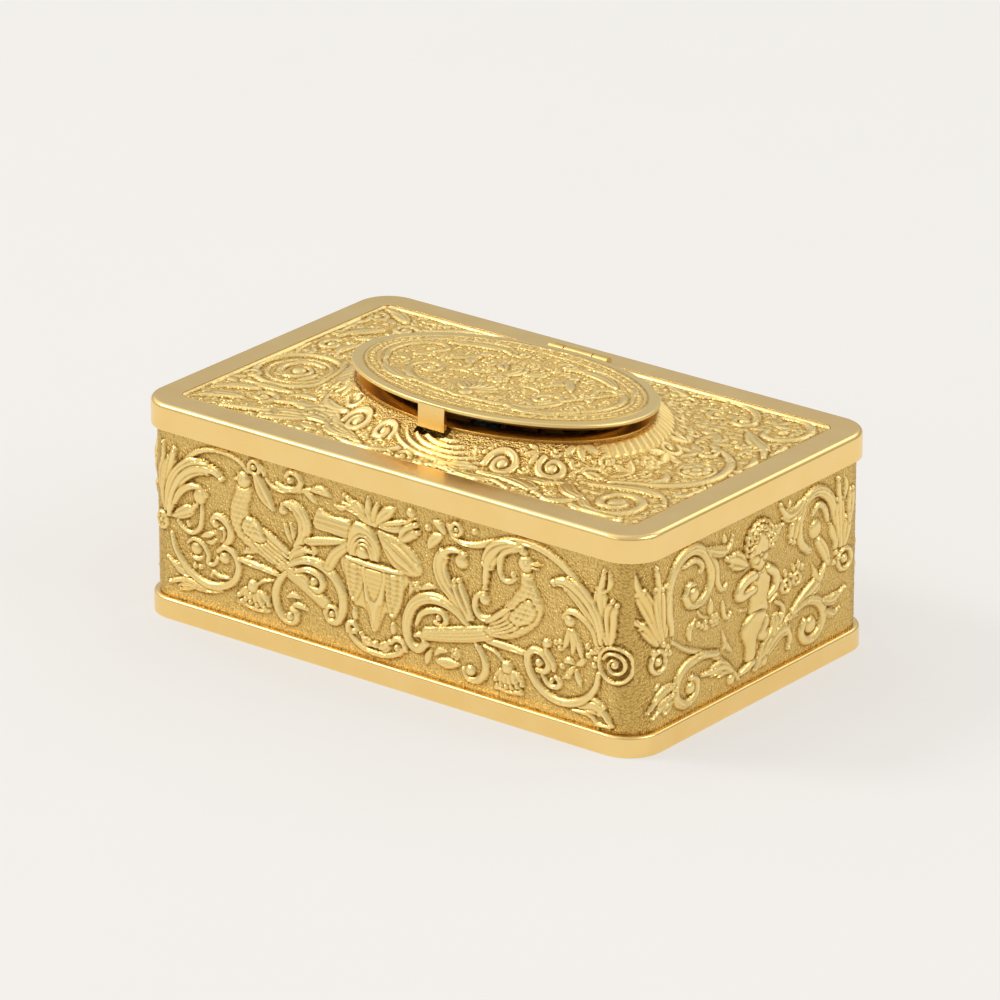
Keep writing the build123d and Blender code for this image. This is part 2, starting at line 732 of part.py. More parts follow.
def build_third():
    place = Pos(third_x, third_y, 0)
    pinion_low, pinion_high = second_wheel_low - 0.5, second_wheel_high + 0.5
    pinion = gear(
        third_pinion_teeth, second_module, pinion_low, pinion_high, arbor_radius - 0.1, third_pinion_phase
    )
    wheel = gear(third_teeth, third_module, third_low, third_high, arbor_radius, third_wheel_phase)
    wheel -= spokes(5, 3.0, third_pitch - 1.9, 1.4, third_low, third_high)
    parts["third_wheel"] = place * wheel
    arbor = disc(arbor_radius, lower_plate_high + 0.3, crank_low)
    arbor += disc(crank_disc_radius, crank_low, crank_low + 0.9)
    arbor += disc(crank_pin_radius, crank_low, rod_low + rod_thickness + 0.3, 0, crank_radius)
    arbor += disc(crank_disc_radius, rod_low + rod_thickness + 0.3, rod_low + rod_thickness + 1.2)
    arbor += disc(arbor_radius, rod_low + rod_thickness + 1.2, upper_plate_low - 0.3)
    arbor += disc(pivot_radius, lower_plate_low, lower_plate_high + 0.4)
    arbor += disc(pivot_radius, upper_plate_low - 0.4, upper_plate_high)
    parts["crank_arbor"] = place * (arbor + pinion)


def build_fly():
    place = Pos(fly_x, fly_y, 0)
    arbor = disc(pivot_radius, lower_plate_low, upper_plate_high)
    arbor += disc(arbor_radius, third_high + 1.4, upper_plate_low - 0.3)
    low, high = third_low - 0.6, third_high + 0.6
    pinion = gear(fly_pinion_teeth, third_module, low, high, pivot_radius - 0.1, fly_pinion_phase)
    vane_low = third_high + 2.2
    vane = bar(
        (-fly_radius, -fly_vane_thickness / 2, vane_low),
        (fly_radius, fly_vane_thickness / 2, vane_low + fly_vane_height),
    )
    vane += disc(1.5, vane_low, vane_low + fly_vane_height)
    vane -= disc(arbor_radius, vane_low - 1, vane_low + fly_vane_height + 1)
    parts["fly_arbor"] = place * (arbor + pinion)
    parts["fly_vanes"] = place * vane


def build_bellows():
    pin_x, pin_y = third_x, third_y + crank_radius
    eye_x = bellows_x - eye_reach
    rod_high = rod_low + rod_thickness
    eye_centre = eye_x
    rod_end = eye_centre - eye_half_length - 0.3
    rod = bar((pin_x, pin_y - rod_width / 2, rod_low), (rod_end, pin_y + rod_width / 2, rod_high))
    rod += disc(crank_pin_radius + 1.0, rod_low, rod_high, pin_x, pin_y)
    outer_eye = Rectangle(2 * (eye_half_length + eye_wall), 2 * (eye_half_width + eye_wall))
    inner_eye = Rectangle(2 * eye_half_length, 2 * eye_half_width)
    rod += Pos(eye_centre, pin_y, 0) * slab(outer_eye - inner_eye, rod_low, rod_high)
    rod -= disc(crank_pin_radius + slip, rod_low - 1, rod_high + 1, pin_x, pin_y)
    parts["connecting_rod"] = rod

    board_low_x, board_high_x = bellows_x - board_thickness, bellows_x
    front_y = bellows_hinge_y - bellows_length
    board = bar((board_low_x, front_y, bellows_low), (board_high_x, bellows_hinge_y, bellows_high))
    arm_low = rod_low - 1.4
    board += bar(
        (eye_centre - 0.9, third_y - 1.0, arm_low),
        (board_low_x + 0.1, third_y + 1.0, arm_low + 1.0),
    )
    board += disc(0.6, arm_low + 0.5, rod_high + 0.4, eye_centre, third_y)
    parts["bellows_moving_board"] = board
    fixed = bar(
        (fixed_board_x - board_thickness, front_y, lower_plate_high),
        (fixed_board_x, bellows_hinge_y + 2.0, upper_plate_low),
    )
    outside = fixed_board_x - board_thickness - 1
    fixed -= rod_x(1.6, outside, fixed_board_x + 1, bellows_hinge_y - 5, bellows_mid)
    parts["bellows_fixed_board"] = fixed
    strip_x = board_low_x + 0.2
    strip = bar(
        (strip_x, bellows_hinge_y + 0.3, bellows_low + 1),
        (fixed_board_x - board_thickness, bellows_hinge_y + 1.0, bellows_high - 1),
    )
    parts["bellows_hinge_strip"] = strip

    span = fixed_board_x - board_thickness - board_high_x
    step = span / leather_pleats
    leather = None
    for k in range(leather_pleats):
        x0 = board_high_x + k * step
        wide = (bellows_length - 2 * leather_inset, bellows_height - 2 * leather_inset)
        slim = (wide[0] - 2 * leather_fold, wide[1] - 2 * leather_fold)
        centre_y = (front_y + bellows_hinge_y) / 2

        def section(x, size):
            plane = Plane(origin=(x, centre_y, bellows_mid), x_dir=(0, 1, 0), z_dir=(1, 0, 0))
            return plane * Rectangle(*size)

        half = loft([section(x0, slim), section(x0 + step / 2, wide)], ruled=True)
        other = loft([section(x0 + step / 2, wide), section(x0 + step, slim)], ruled=True)
        leather = half + other if leather is None else leather + half + other
    hollow_y = bellows_length - 2 * (leather_inset + leather_fold + leather_wall)
    hollow_z = bellows_height - 2 * (leather_inset + leather_fold + leather_wall)
    leather -= Pos(board_high_x + span / 2, (front_y + bellows_hinge_y) / 2, bellows_mid) * Box(
        span + 2, hollow_y, hollow_z
    )
    parts["bellows_leather"] = leather


def build_whistle():
    right = whistle_left + whistle_length
    tube = rod_x(whistle_outer, whistle_left, right, whistle_y, whistle_z)
    tube -= rod_x(whistle_bore, whistle_left - 1, right - 3.0, whistle_y, whistle_z)
    mouth_x = right - 6.5
    tube -= bar(
        (mouth_x, whistle_y - 1.4, whistle_z + whistle_bore - 1.2),
        (mouth_x + 2.6, whistle_y + 1.4, whistle_z + whistle_outer + 1),
    )
    parts["whistle_tube"] = tube
    saddles = []
    for x in (whistle_left + 1.5, right - 10.0):
        saddle = bar(
            (x, whistle_y - whistle_outer - 1.0, lower_plate_high),
            (x + 2.0, whistle_y + whistle_outer + 1.0, whistle_z + 0.4),
        )
        saddle -= rod_x(whistle_outer, x - 1, x + 3, whistle_y, whistle_z)
        saddles.append(saddle)
    parts["whistle_saddles"] = Compound(children=saddles)
    piston_left = whistle_left + 2.0
    piston = rod_x(whistle_bore - slip, piston_left, piston_left + piston_length, whistle_y, whistle_z)
    piston += rod_x(piston_rod_radius, piston_pin_x - 0.5, piston_left + 0.2, whistle_y, whistle_z)
    pin_high = upper_plate_high + 0.6 + lever_thickness + 0.5
    piston += disc(0.6, whistle_z, pin_high, piston_pin_x, whistle_y)
    parts["whistle_piston"] = piston
    chest_low_x = right
    chest = bar(
        (chest_low_x, whistle_y - 3.6, whistle_z - chest_half_height),
        (fixed_board_x, whistle_y + 3.6, whistle_z + chest_half_height),
    )
    chest += bar(
        (chest_low_x + 2.0, whistle_y - 3.6, lower_plate_high),
        (fixed_board_x - 2.0, whistle_y + 3.6, whistle_z),
    )
    chest += bar(
        (fixed_board_x - 4.0, bellows_hinge_y + 2.0, whistle_z - 3.0),
        (fixed_board_x, whistle_y, whistle_z + 3.0),
    )
    parts["wind_chest"] = chest


def lever(pivot, tip, tail, low, width=lever_width):
    """A flat lever with an eye at its pivot and an arm to each end."""
    px, py = pivot
    body = disc(1.9, low, low + lever_thickness, px, py)
    for ex, ey in (tip, tail):
        length = hypot(ex - px, ey - py)
        angle = degrees(atan2(ey - py, ex - px))
        arm = bar((0, -width / 2, low), (length, width / 2, low + lever_thickness))
        body += Pos(px, py, 0) * (Rot(0, 0, angle) * arm)
        body += disc(width / 2, low, low + lever_thickness, ex, ey)
    return body - disc(0.8 + slip, low - 1, low + 2, px, py)


def lever_stud(pivot, low):
    """The stud that a lever turns on, with a head over it."""
    px, py = pivot
    high = low + lever_thickness + 0.2
    stud = disc(0.8, upper_plate_high, high, px, py)
    stud += disc(1.6, high, high + 0.6, px, py)
    return stud + disc(1.6, upper_plate_high, low - 0.1, px, py)


def cam_touch(pivot, side):
    """Where a lever's tip, clear of the highest lobe, moves straight towards the cams' axis."""
    reach = cam_radius + lever_width / 2 + ease
    dx, dy = pivot[0] - second_x, pivot[1] - second_y
    bearing = atan2(dy, dx) + side * acos(reach / hypot(dx, dy))
    return (second_x + reach * cos(bearing), second_y + reach * sin(bearing))


def build_levers():
    tip = cam_touch(pitch_pivot, -1)
    fork = (piston_pin_x - lever_pin_radius - lever_width / 2 - ease, whistle_y - 0.6)
    parts["pitch_lever"] = lever(pitch_pivot, tip, fork, cam_low)
    valve_low = cam_low + cam_pitch
    valve = lever(valve_pivot, cam_touch(valve_pivot, 1), valve_pin, valve_low)
    valve += disc(lever_pin_radius, whistle_z + chest_half_height + ease, valve_low + 0.1, *valve_pin)
    parts["valve_lever"] = valve
    stop = lever(stop_pivot, stop_pin, stop_tail, stop_low)
    stop += disc(lever_pin_radius, rod_low + rod_thickness + 1.6, stop_low + 0.1, *stop_pin)
    parts["stop_lever"] = stop
    studs = [
        lever_stud(pitch_pivot, cam_low),
        lever_stud(valve_pivot, valve_low),
        lever_stud(stop_pivot, stop_low),
    ]
    parts["lever_studs"] = Compound(children=studs)


def build_slide():
    z = slide_z
    plate_x = -inner_wall_x + 0.2
    slide = bar(
        (plate_x, -slide_plate_width / 2, z - slide_plate_height / 2),
        (plate_x + slide_plate_thickness, slide_plate_width / 2, z + slide_plate_height / 2),
    )
    neck = slide_slot_height / 2 - 2 * slip
    slide += bar(
        (-outer_wall_x - 0.3, -slide_shank_width / 2, z - neck),
        (plate_x + 0.1, slide_shank_width / 2, z + neck),
    )
    knob = bar(
        (-case_length / 2, -slide_knob_width / 2, z - slide_knob_height / 2),
        (-outer_wall_x - 0.2, slide_knob_width / 2, z + slide_knob_height / 2),
    )
    for k in range(-3, 4):
        knob -= Pos(-case_length / 2, k * 0.65, z) * Box(0.5, 0.25, slide_knob_height + 1)
    slide += bar(
        (plate_x, -slide_tab_width / 2, z),
        (plate_x + slide_tab_depth, slide_tab_width / 2, stop_low + lever_thickness + 0.6),
    )
    parts["start_slide"] = slide + knob
    rails = []
    rail_half = slide_plate_width / 2 + slide_travel
    tab_gap = slide_tab_width / 2 + 0.3
    for side in (-1, 1):
        near = z + side * (slide_plate_height / 2 + 0.1)
        far = near + side * rail_height
        low, high = min(near, far), max(near, far)
        rail = bar((-inner_wall_x, -rail_half, low), (-inner_wall_x + rail_depth + 0.6, rail_half, high))
        cover_edge = near - side * 0.8
        rail += bar(
            (-inner_wall_x + rail_depth, -rail_half, min(cover_edge, far)),
            (-inner_wall_x + rail_depth + 0.6, rail_half, max(cover_edge, far)),
        )
        if side > 0:
            rail -= bar(
                (-inner_wall_x - 1, -tab_gap, z), (-inner_wall_x + 4, tab_gap + slide_travel, far + 1)
            )
        rails += rail.solids()
    parts["slide_rails"] = Compound(children=rails)


# Bird, drawn standing on its pivot and facing the front

def spindle(length, girth, fullness=0.45):
    """An egg-like body along Z, turned from a curved profile."""
    peak = length * fullness
    curve = Spline((0, 0), (girth, peak), (0, length), tangents=[(1, 0.15), (-1, 0.15)])
    face = make_face(curve + Line((0, length), (0, 0)))
    return revolve(Plane.XZ * face, Axis.Z)


def build_bird():
    carrier = rod_x(carrier_radius, -carrier_half_length, carrier_half_length, 0, 0)
    carrier += disc(perch_radius, 0, post_height)
    carrier -= rod_x(pivot_pin_radius + slip, -ear_x, ear_x, 0, 0)
    parts["bird_carrier"] = perched(carrier)

    lean = Pos(0, 1.4, post_height - 1.2) * Rot(bird_lean, 0, 0)
    body = lean * spindle(bird_length, bird_girth)
    head_y = -bird_length * 0.8 * sin(radians(bird_lean)) + 0.6
    head_z = post_height - 1.0 + bird_length * 0.86
    head = Pos(0, head_y, head_z) * Sphere(head_radius)
    body = body + head
    beak = Pos(0, head_y - head_radius - 0.7, head_z + 0.15) * (Rot(90, 0, 0) * Cone(0.75, 0.12, 2.2))
    beak -= bar((-2, -9, head_z - 2), (2, 9, head_z))
    body += beak
    body -= disc(perch_radius + slip, -1, post_height + ease)
    body -= rod_x(carrier_radius + ease, -ear_x, ear_x, 0, 0)
    parts["bird_body"] = perched(body)
    lower = Pos(0, head_y - head_radius - 0.6, head_z - 0.1) * (Rot(90, 0, 0) * Cone(0.6, 0.1, 1.8))
    lower -= bar((-2, -9, head_z - 0.08), (2, 9, head_z + 3))
    lower -= Pos(0, head_y, head_z) * Sphere(head_radius + slip)
    parts["bird_beak"] = perched(lower)
    for name, side in (("bird_wing_left", -1), ("bird_wing_right", 1)):
        edge = [
            (0, 0),
            (wing_depth * 0.62, -wing_length * 0.35),
            (wing_depth * 0.2, -wing_length),
            (-wing_depth * 0.38, -wing_length * 0.4),
        ]
        outline = make_face(Spline(*edge, periodic=True))
        inner = bird_girth + ease
        low, high = (inner, inner + wing_thickness)
        if side < 0:
            low, high = -high, -low
        shoulder = (low, 0.4, post_height + bird_length * 0.56)
        plane = Plane(origin=shoulder, x_dir=(0, 1, 0), z_dir=(1, 0, 0))
        parts[name] = perched(extrude(plane * outline, high - low))
    tail = extrude(
        Plane(origin=(-1.3, 1.9, post_height + 1.2), x_dir=(0, 1, 0), z_dir=(1, 0, 0))
        * make_face(Polyline((0.6, 0.8), (1.5, 0.4), (2.0, -3.0), (1.4, -3.2), close=True)),
        2.6,
    )
    tail -= lean * spindle(bird_length, bird_girth + ease)
    parts["bird_tail"] = perched(tail)


build_base()
build_wall()
build_top()
build_well()
build_hinge()
build_lid()
build_plates()
build_barrel()
build_second()
build_third()
build_fly()
build_bellows()
build_whistle()
build_levers()
build_slide()
build_bird()

os.makedirs("parts", exist_ok=True)
for name, shape in parts.items():
    export_step(shape, "parts/" + name + ".step")
print(len(parts), "nodes")
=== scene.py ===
import itertools
import math

import bpy
import numpy as np
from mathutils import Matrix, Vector


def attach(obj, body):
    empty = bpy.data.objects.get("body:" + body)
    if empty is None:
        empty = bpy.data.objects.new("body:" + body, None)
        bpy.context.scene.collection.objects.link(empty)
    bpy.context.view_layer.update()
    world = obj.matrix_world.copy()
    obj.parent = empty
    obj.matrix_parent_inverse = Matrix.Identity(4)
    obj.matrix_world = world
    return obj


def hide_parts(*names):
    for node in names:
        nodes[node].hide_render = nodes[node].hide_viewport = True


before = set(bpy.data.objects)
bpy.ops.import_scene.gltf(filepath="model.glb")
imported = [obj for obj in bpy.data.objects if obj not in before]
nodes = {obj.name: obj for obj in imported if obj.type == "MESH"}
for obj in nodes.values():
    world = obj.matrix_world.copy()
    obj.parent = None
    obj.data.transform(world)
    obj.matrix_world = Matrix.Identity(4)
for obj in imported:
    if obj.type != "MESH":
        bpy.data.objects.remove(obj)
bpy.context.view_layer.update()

MM = 0.001

# Sizes shared with the solids, in millimetres
CASE_LENGTH = 104.0
CASE_WIDTH = 65.0
CORNER_RADIUS = 6.3
WALL_LOW = 3.6
WALL_HIGH = 33.4
WALL_INSET = 1.0
WALL_THICKNESS = 1.5
BAND_TOP = 38.0
PANEL_LOW = 36.4
PANEL_TOP = 37.6
PANEL_X = 46.95
PANEL_Y = 27.45
PANEL_CORNER = 2.0
COLLAR_HEIGHT = 3.4
COLLAR_A = 35.0
COLLAR_B = 25.2
BROW_A = 27.8
BROW_B = 18.0
WELL_A = 25.55
WELL_B = 15.75
LID_A = 28.6
LID_B = 18.8
LID_LOW = 41.45
LID_HIGH = 42.75
LID_EDGE = 0.3
LID_BEVEL_HEIGHT = 0.75
LID_BEVEL_DEPTH = 1.2
LIP_A = 23.9
LIP_B = 14.1
LIP_WIDTH = 1.0
LIP_DEPTH = 0.6
HINGE_Y = 20.1
HINGE_Z = 41.9

# Degrees that the lid stands open at rest
LID_AJAR = 3.0

# Camera, set to the photograph's viewing angle
CAMERA_AZIMUTH = 38.08
CAMERA_ELEVATION = 21.83
CAMERA_DISTANCE = 1292.1
CAMERA_TARGET = (-34.84, 43.2, 0.0)
CAMERA_LENS = 269.14

# The floor's two tones, its own light as the camera sees it, and that light's share
PAPER_LOW = (0.84, 0.82, 0.79)
PAPER_HIGH = (0.86, 0.84, 0.81)
PAPER = (0.875, 0.852, 0.815)
PAPER_SHARE = 0.6

# Relief: how it is drawn and how high it stands, with lengths in millimetres
RELIEF_GAIN = 1.3
DRAWING_STEP = 0.2
LID_DRAWING_STEP = 0.13
UNDER_SHARE = 0.35
CHASE_WIDTH = 0.28
CHASE_DEPTH = 0.07
CHASE_SHARE = 0.6
WALL_RELIEF = 0.92
WALL_SHEET_STEP = 0.2
WALL_SHEET_ENDS = 0.9
PANEL_RELIEF = 0.7
PANEL_SHARE = 0.8
PANEL_LINE = 0.7
PANEL_LINE_RISE = 0.38
FLUTE_REACH = 0.46
FLUTE_COUNT = 92
FLUTE_TWIST = 0.7
FLUTE_HEIGHT = 0.32
LID_RELIEF = 0.6
LID_SHARE = 0.75
LID_FIELD_RISE = 0.1
LID_BORDER = 1.7
LID_BEADS = 76

# Openings for the start slide, the lid's tongue and the hinge, as low and high corners
SLIDE_SLOT = ((-60, -1.6, 16), (-40, 4.6, 18))
TONGUE_NOTCH = ((-3.2, -20.1, 38.15), (3.2, -18.1, 45))
HINGE_NOTCH = ((-6.2, 19.25, 39.1), (6.2, 22.6, 45))

# Gilding, from the painted shade of the hollows to the painted highlight of the high places, and the
# polished frame's two tones
GILT_DARK = (0.30, 0.16, 0.035)
GILT_LOW = (0.66, 0.43, 0.12)
GILT_MIDDLE = (0.92, 0.66, 0.23)
GILT_BRIGHT = (1.0, 0.79, 0.36)
POLISH_LOW = (0.96, 0.66, 0.24)
POLISH_HIGH = (1.0, 0.74, 0.32)

# Grain of the gilding: specks and blotches to the metre, how much they tell, and its gloss
STIPPLE_SCALE = 2500.0
STIPPLE_TONE = -0.24
STIPPLE_DEPTH = -0.00024
MOTTLE_SCALE = 900.0
MOTTLE_TONE = 0.10
# Tones of the embossed gilding along its cavity shading, from painted shade in the hollows to painted
# highlight on the high places
EMBOSSED_TONES = [(0.13, GILT_DARK), (0.30, GILT_LOW), (0.47, GILT_MIDDLE), (0.78, GILT_BRIGHT)]
EMBOSSED_ROUGHNESS = [(0.1, 0.42), (0.9, 0.34)]
POLISHED_ROUGHNESS = [(0.3, 0.21), (0.7, 0.27)]

# Feathers and their barbs to the metre
FEATHER_SCALE = 1100.0
BARB_SCALE = 3200.0

# Sky: brightness by height, and a glow at the left by nearness to its direction
SKY_LEVELS = [(0.0, 0.28), (0.5, 0.38), (0.6, 0.42), (0.72, 0.62), (1.0, 0.68)]
GLOW_DIRECTION = (-75, 40)
GLOW_LEVELS = [(0.6, 1.0), (0.95, 1.7)]

# Area lights: azimuth, elevation, width and height in metres, power in watts, colour
LIGHT_DISTANCE = 1.6
LIGHTS = {
    "key": (-62, 42, (0.4, 0.4), 6.4, (1.0, 0.98, 0.95)),
    "front": (-15, 25, (0.9, 0.4), 1.2, (1, 1, 1)),
    "right": (100, 40, (1.0, 0.8), 5.4, (1, 1, 1)),
    "rear": (175, 42, (1.2, 0.5), 2.0, (1, 1, 1)),
}


def direction(azimuth, elevation):
    a, e = math.radians(azimuth), math.radians(elevation)
    return Vector((math.sin(a) * math.cos(e), -math.cos(a) * math.cos(e), math.sin(e)))


def add_camera():
    data = bpy.data.cameras.new("camera")
    data.lens = CAMERA_LENS
    data.sensor_width = 36.0
    data.clip_start = 0.05
    data.clip_end = 20.0
    camera = bpy.data.objects.new("camera", data)
    back = direction(CAMERA_AZIMUTH, CAMERA_ELEVATION)
    camera.location = (Vector(CAMERA_TARGET) + back * CAMERA_DISTANCE) * MM
    camera.rotation_euler = back.to_track_quat("Z", "Y").to_euler()
    bpy.context.scene.collection.objects.link(camera)
    bpy.context.scene.camera = camera


# Relief drawing: a height map that strokes, leaves, beads and shapes are laid on in turn


def path(text):
    """Points written as "u,v u,v", turned into an array."""
    return np.array([[float(n) for n in pair.split(",")] for pair in text.split()])


def smooth(points, spacing=0.35, closed=False):
    """A Catmull-Rom curve through the points, at an even spacing."""
    p = np.asarray(points, float)
    if closed:
        p = np.vstack([p[-1], p, p[0], p[1]])
    else:
        p = np.vstack([2 * p[0] - p[1], p, 2 * p[-1] - p[-2]])
    out = []
    for a, b, c, d in zip(p[:-3], p[1:-2], p[2:-1], p[3:]):
        t = np.linspace(0, 1, 12, endpoint=False)[:, None]
        square = (2 * a - 5 * b + 4 * c - d) * t**2
        cube = (3 * b - a - 3 * c + d) * t**3
        out.append(0.5 * (2 * b + (c - a) * t + square + cube))
    curve = np.vstack(out + [p[-2][None, :]])
    run = np.concatenate([[0], np.cumsum(np.hypot(*np.diff(curve, axis=0).T))])
    count = max(3, int(run[-1] / spacing) + 1)
    at = np.linspace(0, run[-1], count)
    return np.stack([np.interp(at, run, curve[:, k]) for k in (0, 1)], axis=1)


def box_blur(z, reach):
    """The mean over a square of the given reach, edges repeated."""
    for axis in (0, 1):
        pad = [(0, 0), (0, 0)]
        pad[axis] = (reach + 1, reach)
        total = np.cumsum(np.pad(z, pad, mode="edge"), axis=axis)
        size = 2 * reach + 1
        upper = np.take(total, range(size, total.shape[axis]), axis=axis)
        lower = np.take(total, range(0, total.shape[axis] - size), axis=axis)
        z = (upper - lower) / size
    return z


class Relief:
    """A height map over a rectangle, in millimetres: u to the right, v as the drawing says."""

    def __init__(self, low_u, low_v, high_u, high_v, step):
        self.low = np.array([low_u, low_v])
        self.step = step
        nu = int(round((high_u - low_u) / step)) + 1
        nv = int(round((high_v - low_v) / step)) + 1
        self.us = np.linspace(low_u, high_u, nu)
        self.vs = np.linspace(low_v, high_v, nv)
        self.z = np.zeros((nv, nu))

    def window(self, points, margin):
        """The rows and columns round the points, or None where they lie outside."""
        low = (np.min(points, axis=0) - margin - self.low) / self.step
        high = (np.max(points, axis=0) + margin - self.low) / self.step
        u0, v0 = max(0, int(low[0])), max(0, int(low[1]))
        u1, v1 = min(len(self.us), int(high[0]) + 2), min(len(self.vs), int(high[1]) + 2)
        if u1 <= u0 or v1 <= v0:
            return None
        return slice(v0, v1), slice(u0, u1)

    def lay(self, where, height, edge):
        """Lays a piece over what is there, with a chased line round it.

        edge is the distance outside the piece, in widths of that line.
        """
        old = self.z[where]
        base = np.where(height > 0, old * UNDER_SHARE, old)
        near = np.clip(1 - edge, 0, 1)
        chased = old * (1 - CHASE_SHARE * near) - CHASE_DEPTH * near
        self.z[where] = np.where(height > 0, np.maximum(base + height, height), chased)

    def stroke(self, points, width, height=0.5, ridges=1, start=0.5, end=0.6, belly=0.5):
        """A rounded band along a path, widest at its belly. start and end are shares of that width."""
        curve = smooth(path(points) if isinstance(points, str) else points)
        where = self.window(curve, width * 0.5 + 0.5)
        if where is None:
            return
        u, v = np.meshgrid(self.us[where[1]], self.vs[where[0]])
        share = np.linspace(0, 1, len(curve))
        rise = np.clip(share / belly, 0, 1)
        fall = np.clip((1 - share) / (1 - belly), 0, 1)
        swell = start + (1 - start) * np.sin(rise * np.pi / 2)
        taper = end + (1 - end) * np.sin(fall * np.pi / 2)
        widths = 0.5 * width * np.minimum(swell, taper)
        best = np.full(u.shape, 1e9)
        cross = np.zeros(u.shape)
        for k in range(len(curve) - 1):
            a, b = curve[k], curve[k + 1]
            part = self.window(np.array([a, b]), max(widths[k], widths[k + 1]) + 0.5)
            if part is None:
                continue
            rows = slice(part[0].start - where[0].start, part[0].stop - where[0].start)
            cols = slice(part[1].start - where[1].start, part[1].stop - where[1].start)
            pu, pv = u[rows, cols], v[rows, cols]
            d = b - a
            length = max(np.hypot(*d), 1e-6)
            t = ((pu - a[0]) * d[0] + (pv - a[1]) * d[1]) / length**2
            t = np.clip(t, 0, 1)
            du, dv = pu - a[0] - t * d[0], pv - a[1] - t * d[1]
            half = widths[k] + (widths[k + 1] - widths[k]) * t
            reach = np.hypot(du, dv) / half
            side = np.sign(d[0] * dv - d[1] * du)
            better = reach < best[rows, cols]
            best[rows, cols] = np.where(better, reach, best[rows, cols])
            cross[rows, cols] = np.where(better, reach * side, cross[rows, cols])
        inside = np.clip(1 - best**2, 0, 1)
        body = inside**0.75
        if ridges > 1:
            bands = np.abs(np.sin(0.5 * np.pi * ridges * (cross + 1))) ** 0.6
            body = body * (0.3 + 0.7 * bands)
        self.lay(where, height * body, (best - 1) * (width * 0.5) / CHASE_WIDTH)

    def rib(self, points, width, height=0.5, ridges=1):
        """A stem or scroll arm."""
        self.stroke(points, width, height, ridges, 0.55, 0.7, 0.4)

    def frond(self, points, width, height=0.55, ridges=3):
        """A leaf of several strands that part towards the tip."""
        curve = smooth(path(points) if isinstance(points, str) else points)
        step = np.gradient(curve, axis=0)
        step /= np.maximum(np.hypot(*step.T), 1e-9)[:, None]
        normal = np.stack([-step[:, 1], step[:, 0]], axis=1)
        share = np.linspace(0, 1, len(curve))[:, None]
        strands = max(2, ridges)
        spread = 0.06 + 0.30 * np.sin(0.92 * np.pi * share**0.85)
        for across in sorted(np.linspace(-1, 1, strands), key=lambda c: -abs(c)):
            last = max(4, int(len(curve) * (1 - 0.26 * abs(across))))
            strand = (curve + normal * across * width * spread)[:last]
            keep = np.unique(np.append(np.arange(0, len(strand), 4), len(strand) - 1))
            self.stroke(strand[keep], 1.75 * width / strands, height, 1, 0.45, 0.6, 0.7)
            self.ball(*strand[-1], 0.6 * width / strands, height)

    def petal(self, points, width, height=0.45):
        """A leaf with a midrib, from one end to the other."""
        self.stroke(points, width, height, 2, 0.05, 0.05, 0.5)

    def ball(self, u, v, radius, height=0.6):
        """A bead."""
        where = self.window(np.array([[u, v]]), radius + 0.4)
        if where is None:
            return
        pu, pv = np.meshgrid(self.us[where[1]], self.vs[where[0]])
        reach = np.hypot(pu - u, pv - v) / radius
        dome = np.clip(1 - reach**2, 0, 1) ** 0.7
        self.lay(where, height * dome, (reach - 1) * radius / CHASE_WIDTH)

    def dent(self, u, v, radius, depth):
        """A hollow pressed into what is there."""
        where = self.window(np.array([[u, v]]), radius)
        pu, pv = np.meshgrid(self.us[where[1]], self.vs[where[0]])
        reach = np.hypot(pu - u, pv - v) / radius
        self.z[where] -= depth * np.clip(1 - reach**2, 0, 1)

    def balls(self, points, radius, height=0.4):
        for u, v in path(points):
            self.ball(u, v, radius, height)

    def ring(self, u, v, radius, width, height=0.4):
        a = np.radians(np.arange(0, 361, 20))
        points = np.stack([u + radius * np.cos(a), v + radius * np.sin(a)], 1)
        self.stroke(points, width, height, 1, 1, 1)

    def flower(self, u, v, radius, petals=6, height=0.5):
        for k in range(petals):
            a = 2 * math.pi * k / petals
            cu, cv = u + 0.6 * radius * math.cos(a), v + 0.6 * radius * math.sin(a)
            self.ball(cu, cv, radius * 0.42, height * 0.8)
        self.ball(u, v, radius * 0.36, height)

    def curl(self, u, v, radius, turns=1.3, first=0.0, hand=1, width=1.0, height=0.5, ridges=2):
        """A scroll that winds in to a bead at its centre."""
        share = np.linspace(0, 1, max(6, int(14 * turns)))
        angle = math.radians(first) + hand * 2 * math.pi * turns * share
        r = radius * (1 - 0.78 * share)
        points = np.stack([u + r * np.cos(angle), v + r * np.sin(angle)], axis=1)
        self.stroke(points, width, height, ridges, 0.9, 0.5, 0.3)
        self.ball(u, v, radius * 0.3, height * 1.15)

    def shape(self, points, height=0.5, edge=1.0, texture=None):
        """A closed outline filled as a cushion whose sides are rounded over the edge's width."""
        curve = smooth(path(points), 0.4, closed=True)
        where = self.window(curve, 0.5)
        u, v = np.meshgrid(self.us[where[1]], self.vs[where[0]])
        inside = np.zeros(u.shape, bool)
        far = np.full(u.shape, 1e9)
        for a, b in zip(curve, np.roll(curve, -1, axis=0)):
            d = b - a
            t = ((u - a[0]) * d[0] + (v - a[1]) * d[1]) / max(d @ d, 1e-9)
            t = np.clip(t, 0, 1)
            far = np.minimum(far, np.hypot(u - a[0] - t * d[0], v - a[1] - t * d[1]))
            crosses = (a[1] > v) != (b[1] > v)
            at = a[0] + (v - a[1]) * d[0] / (d[1] if abs(d[1]) > 1e-9 else 1e-9)
            inside ^= crosses & (u < at)
        share = np.clip(far / edge, 0, 1)
        body = np.where(inside, (1 - (1 - share) ** 2) ** 0.75, 0)
        if texture is not None:
            body = body * texture(u, v)
        self.lay(where, height * body, np.where(inside, 0, far / CHASE_WIDTH))

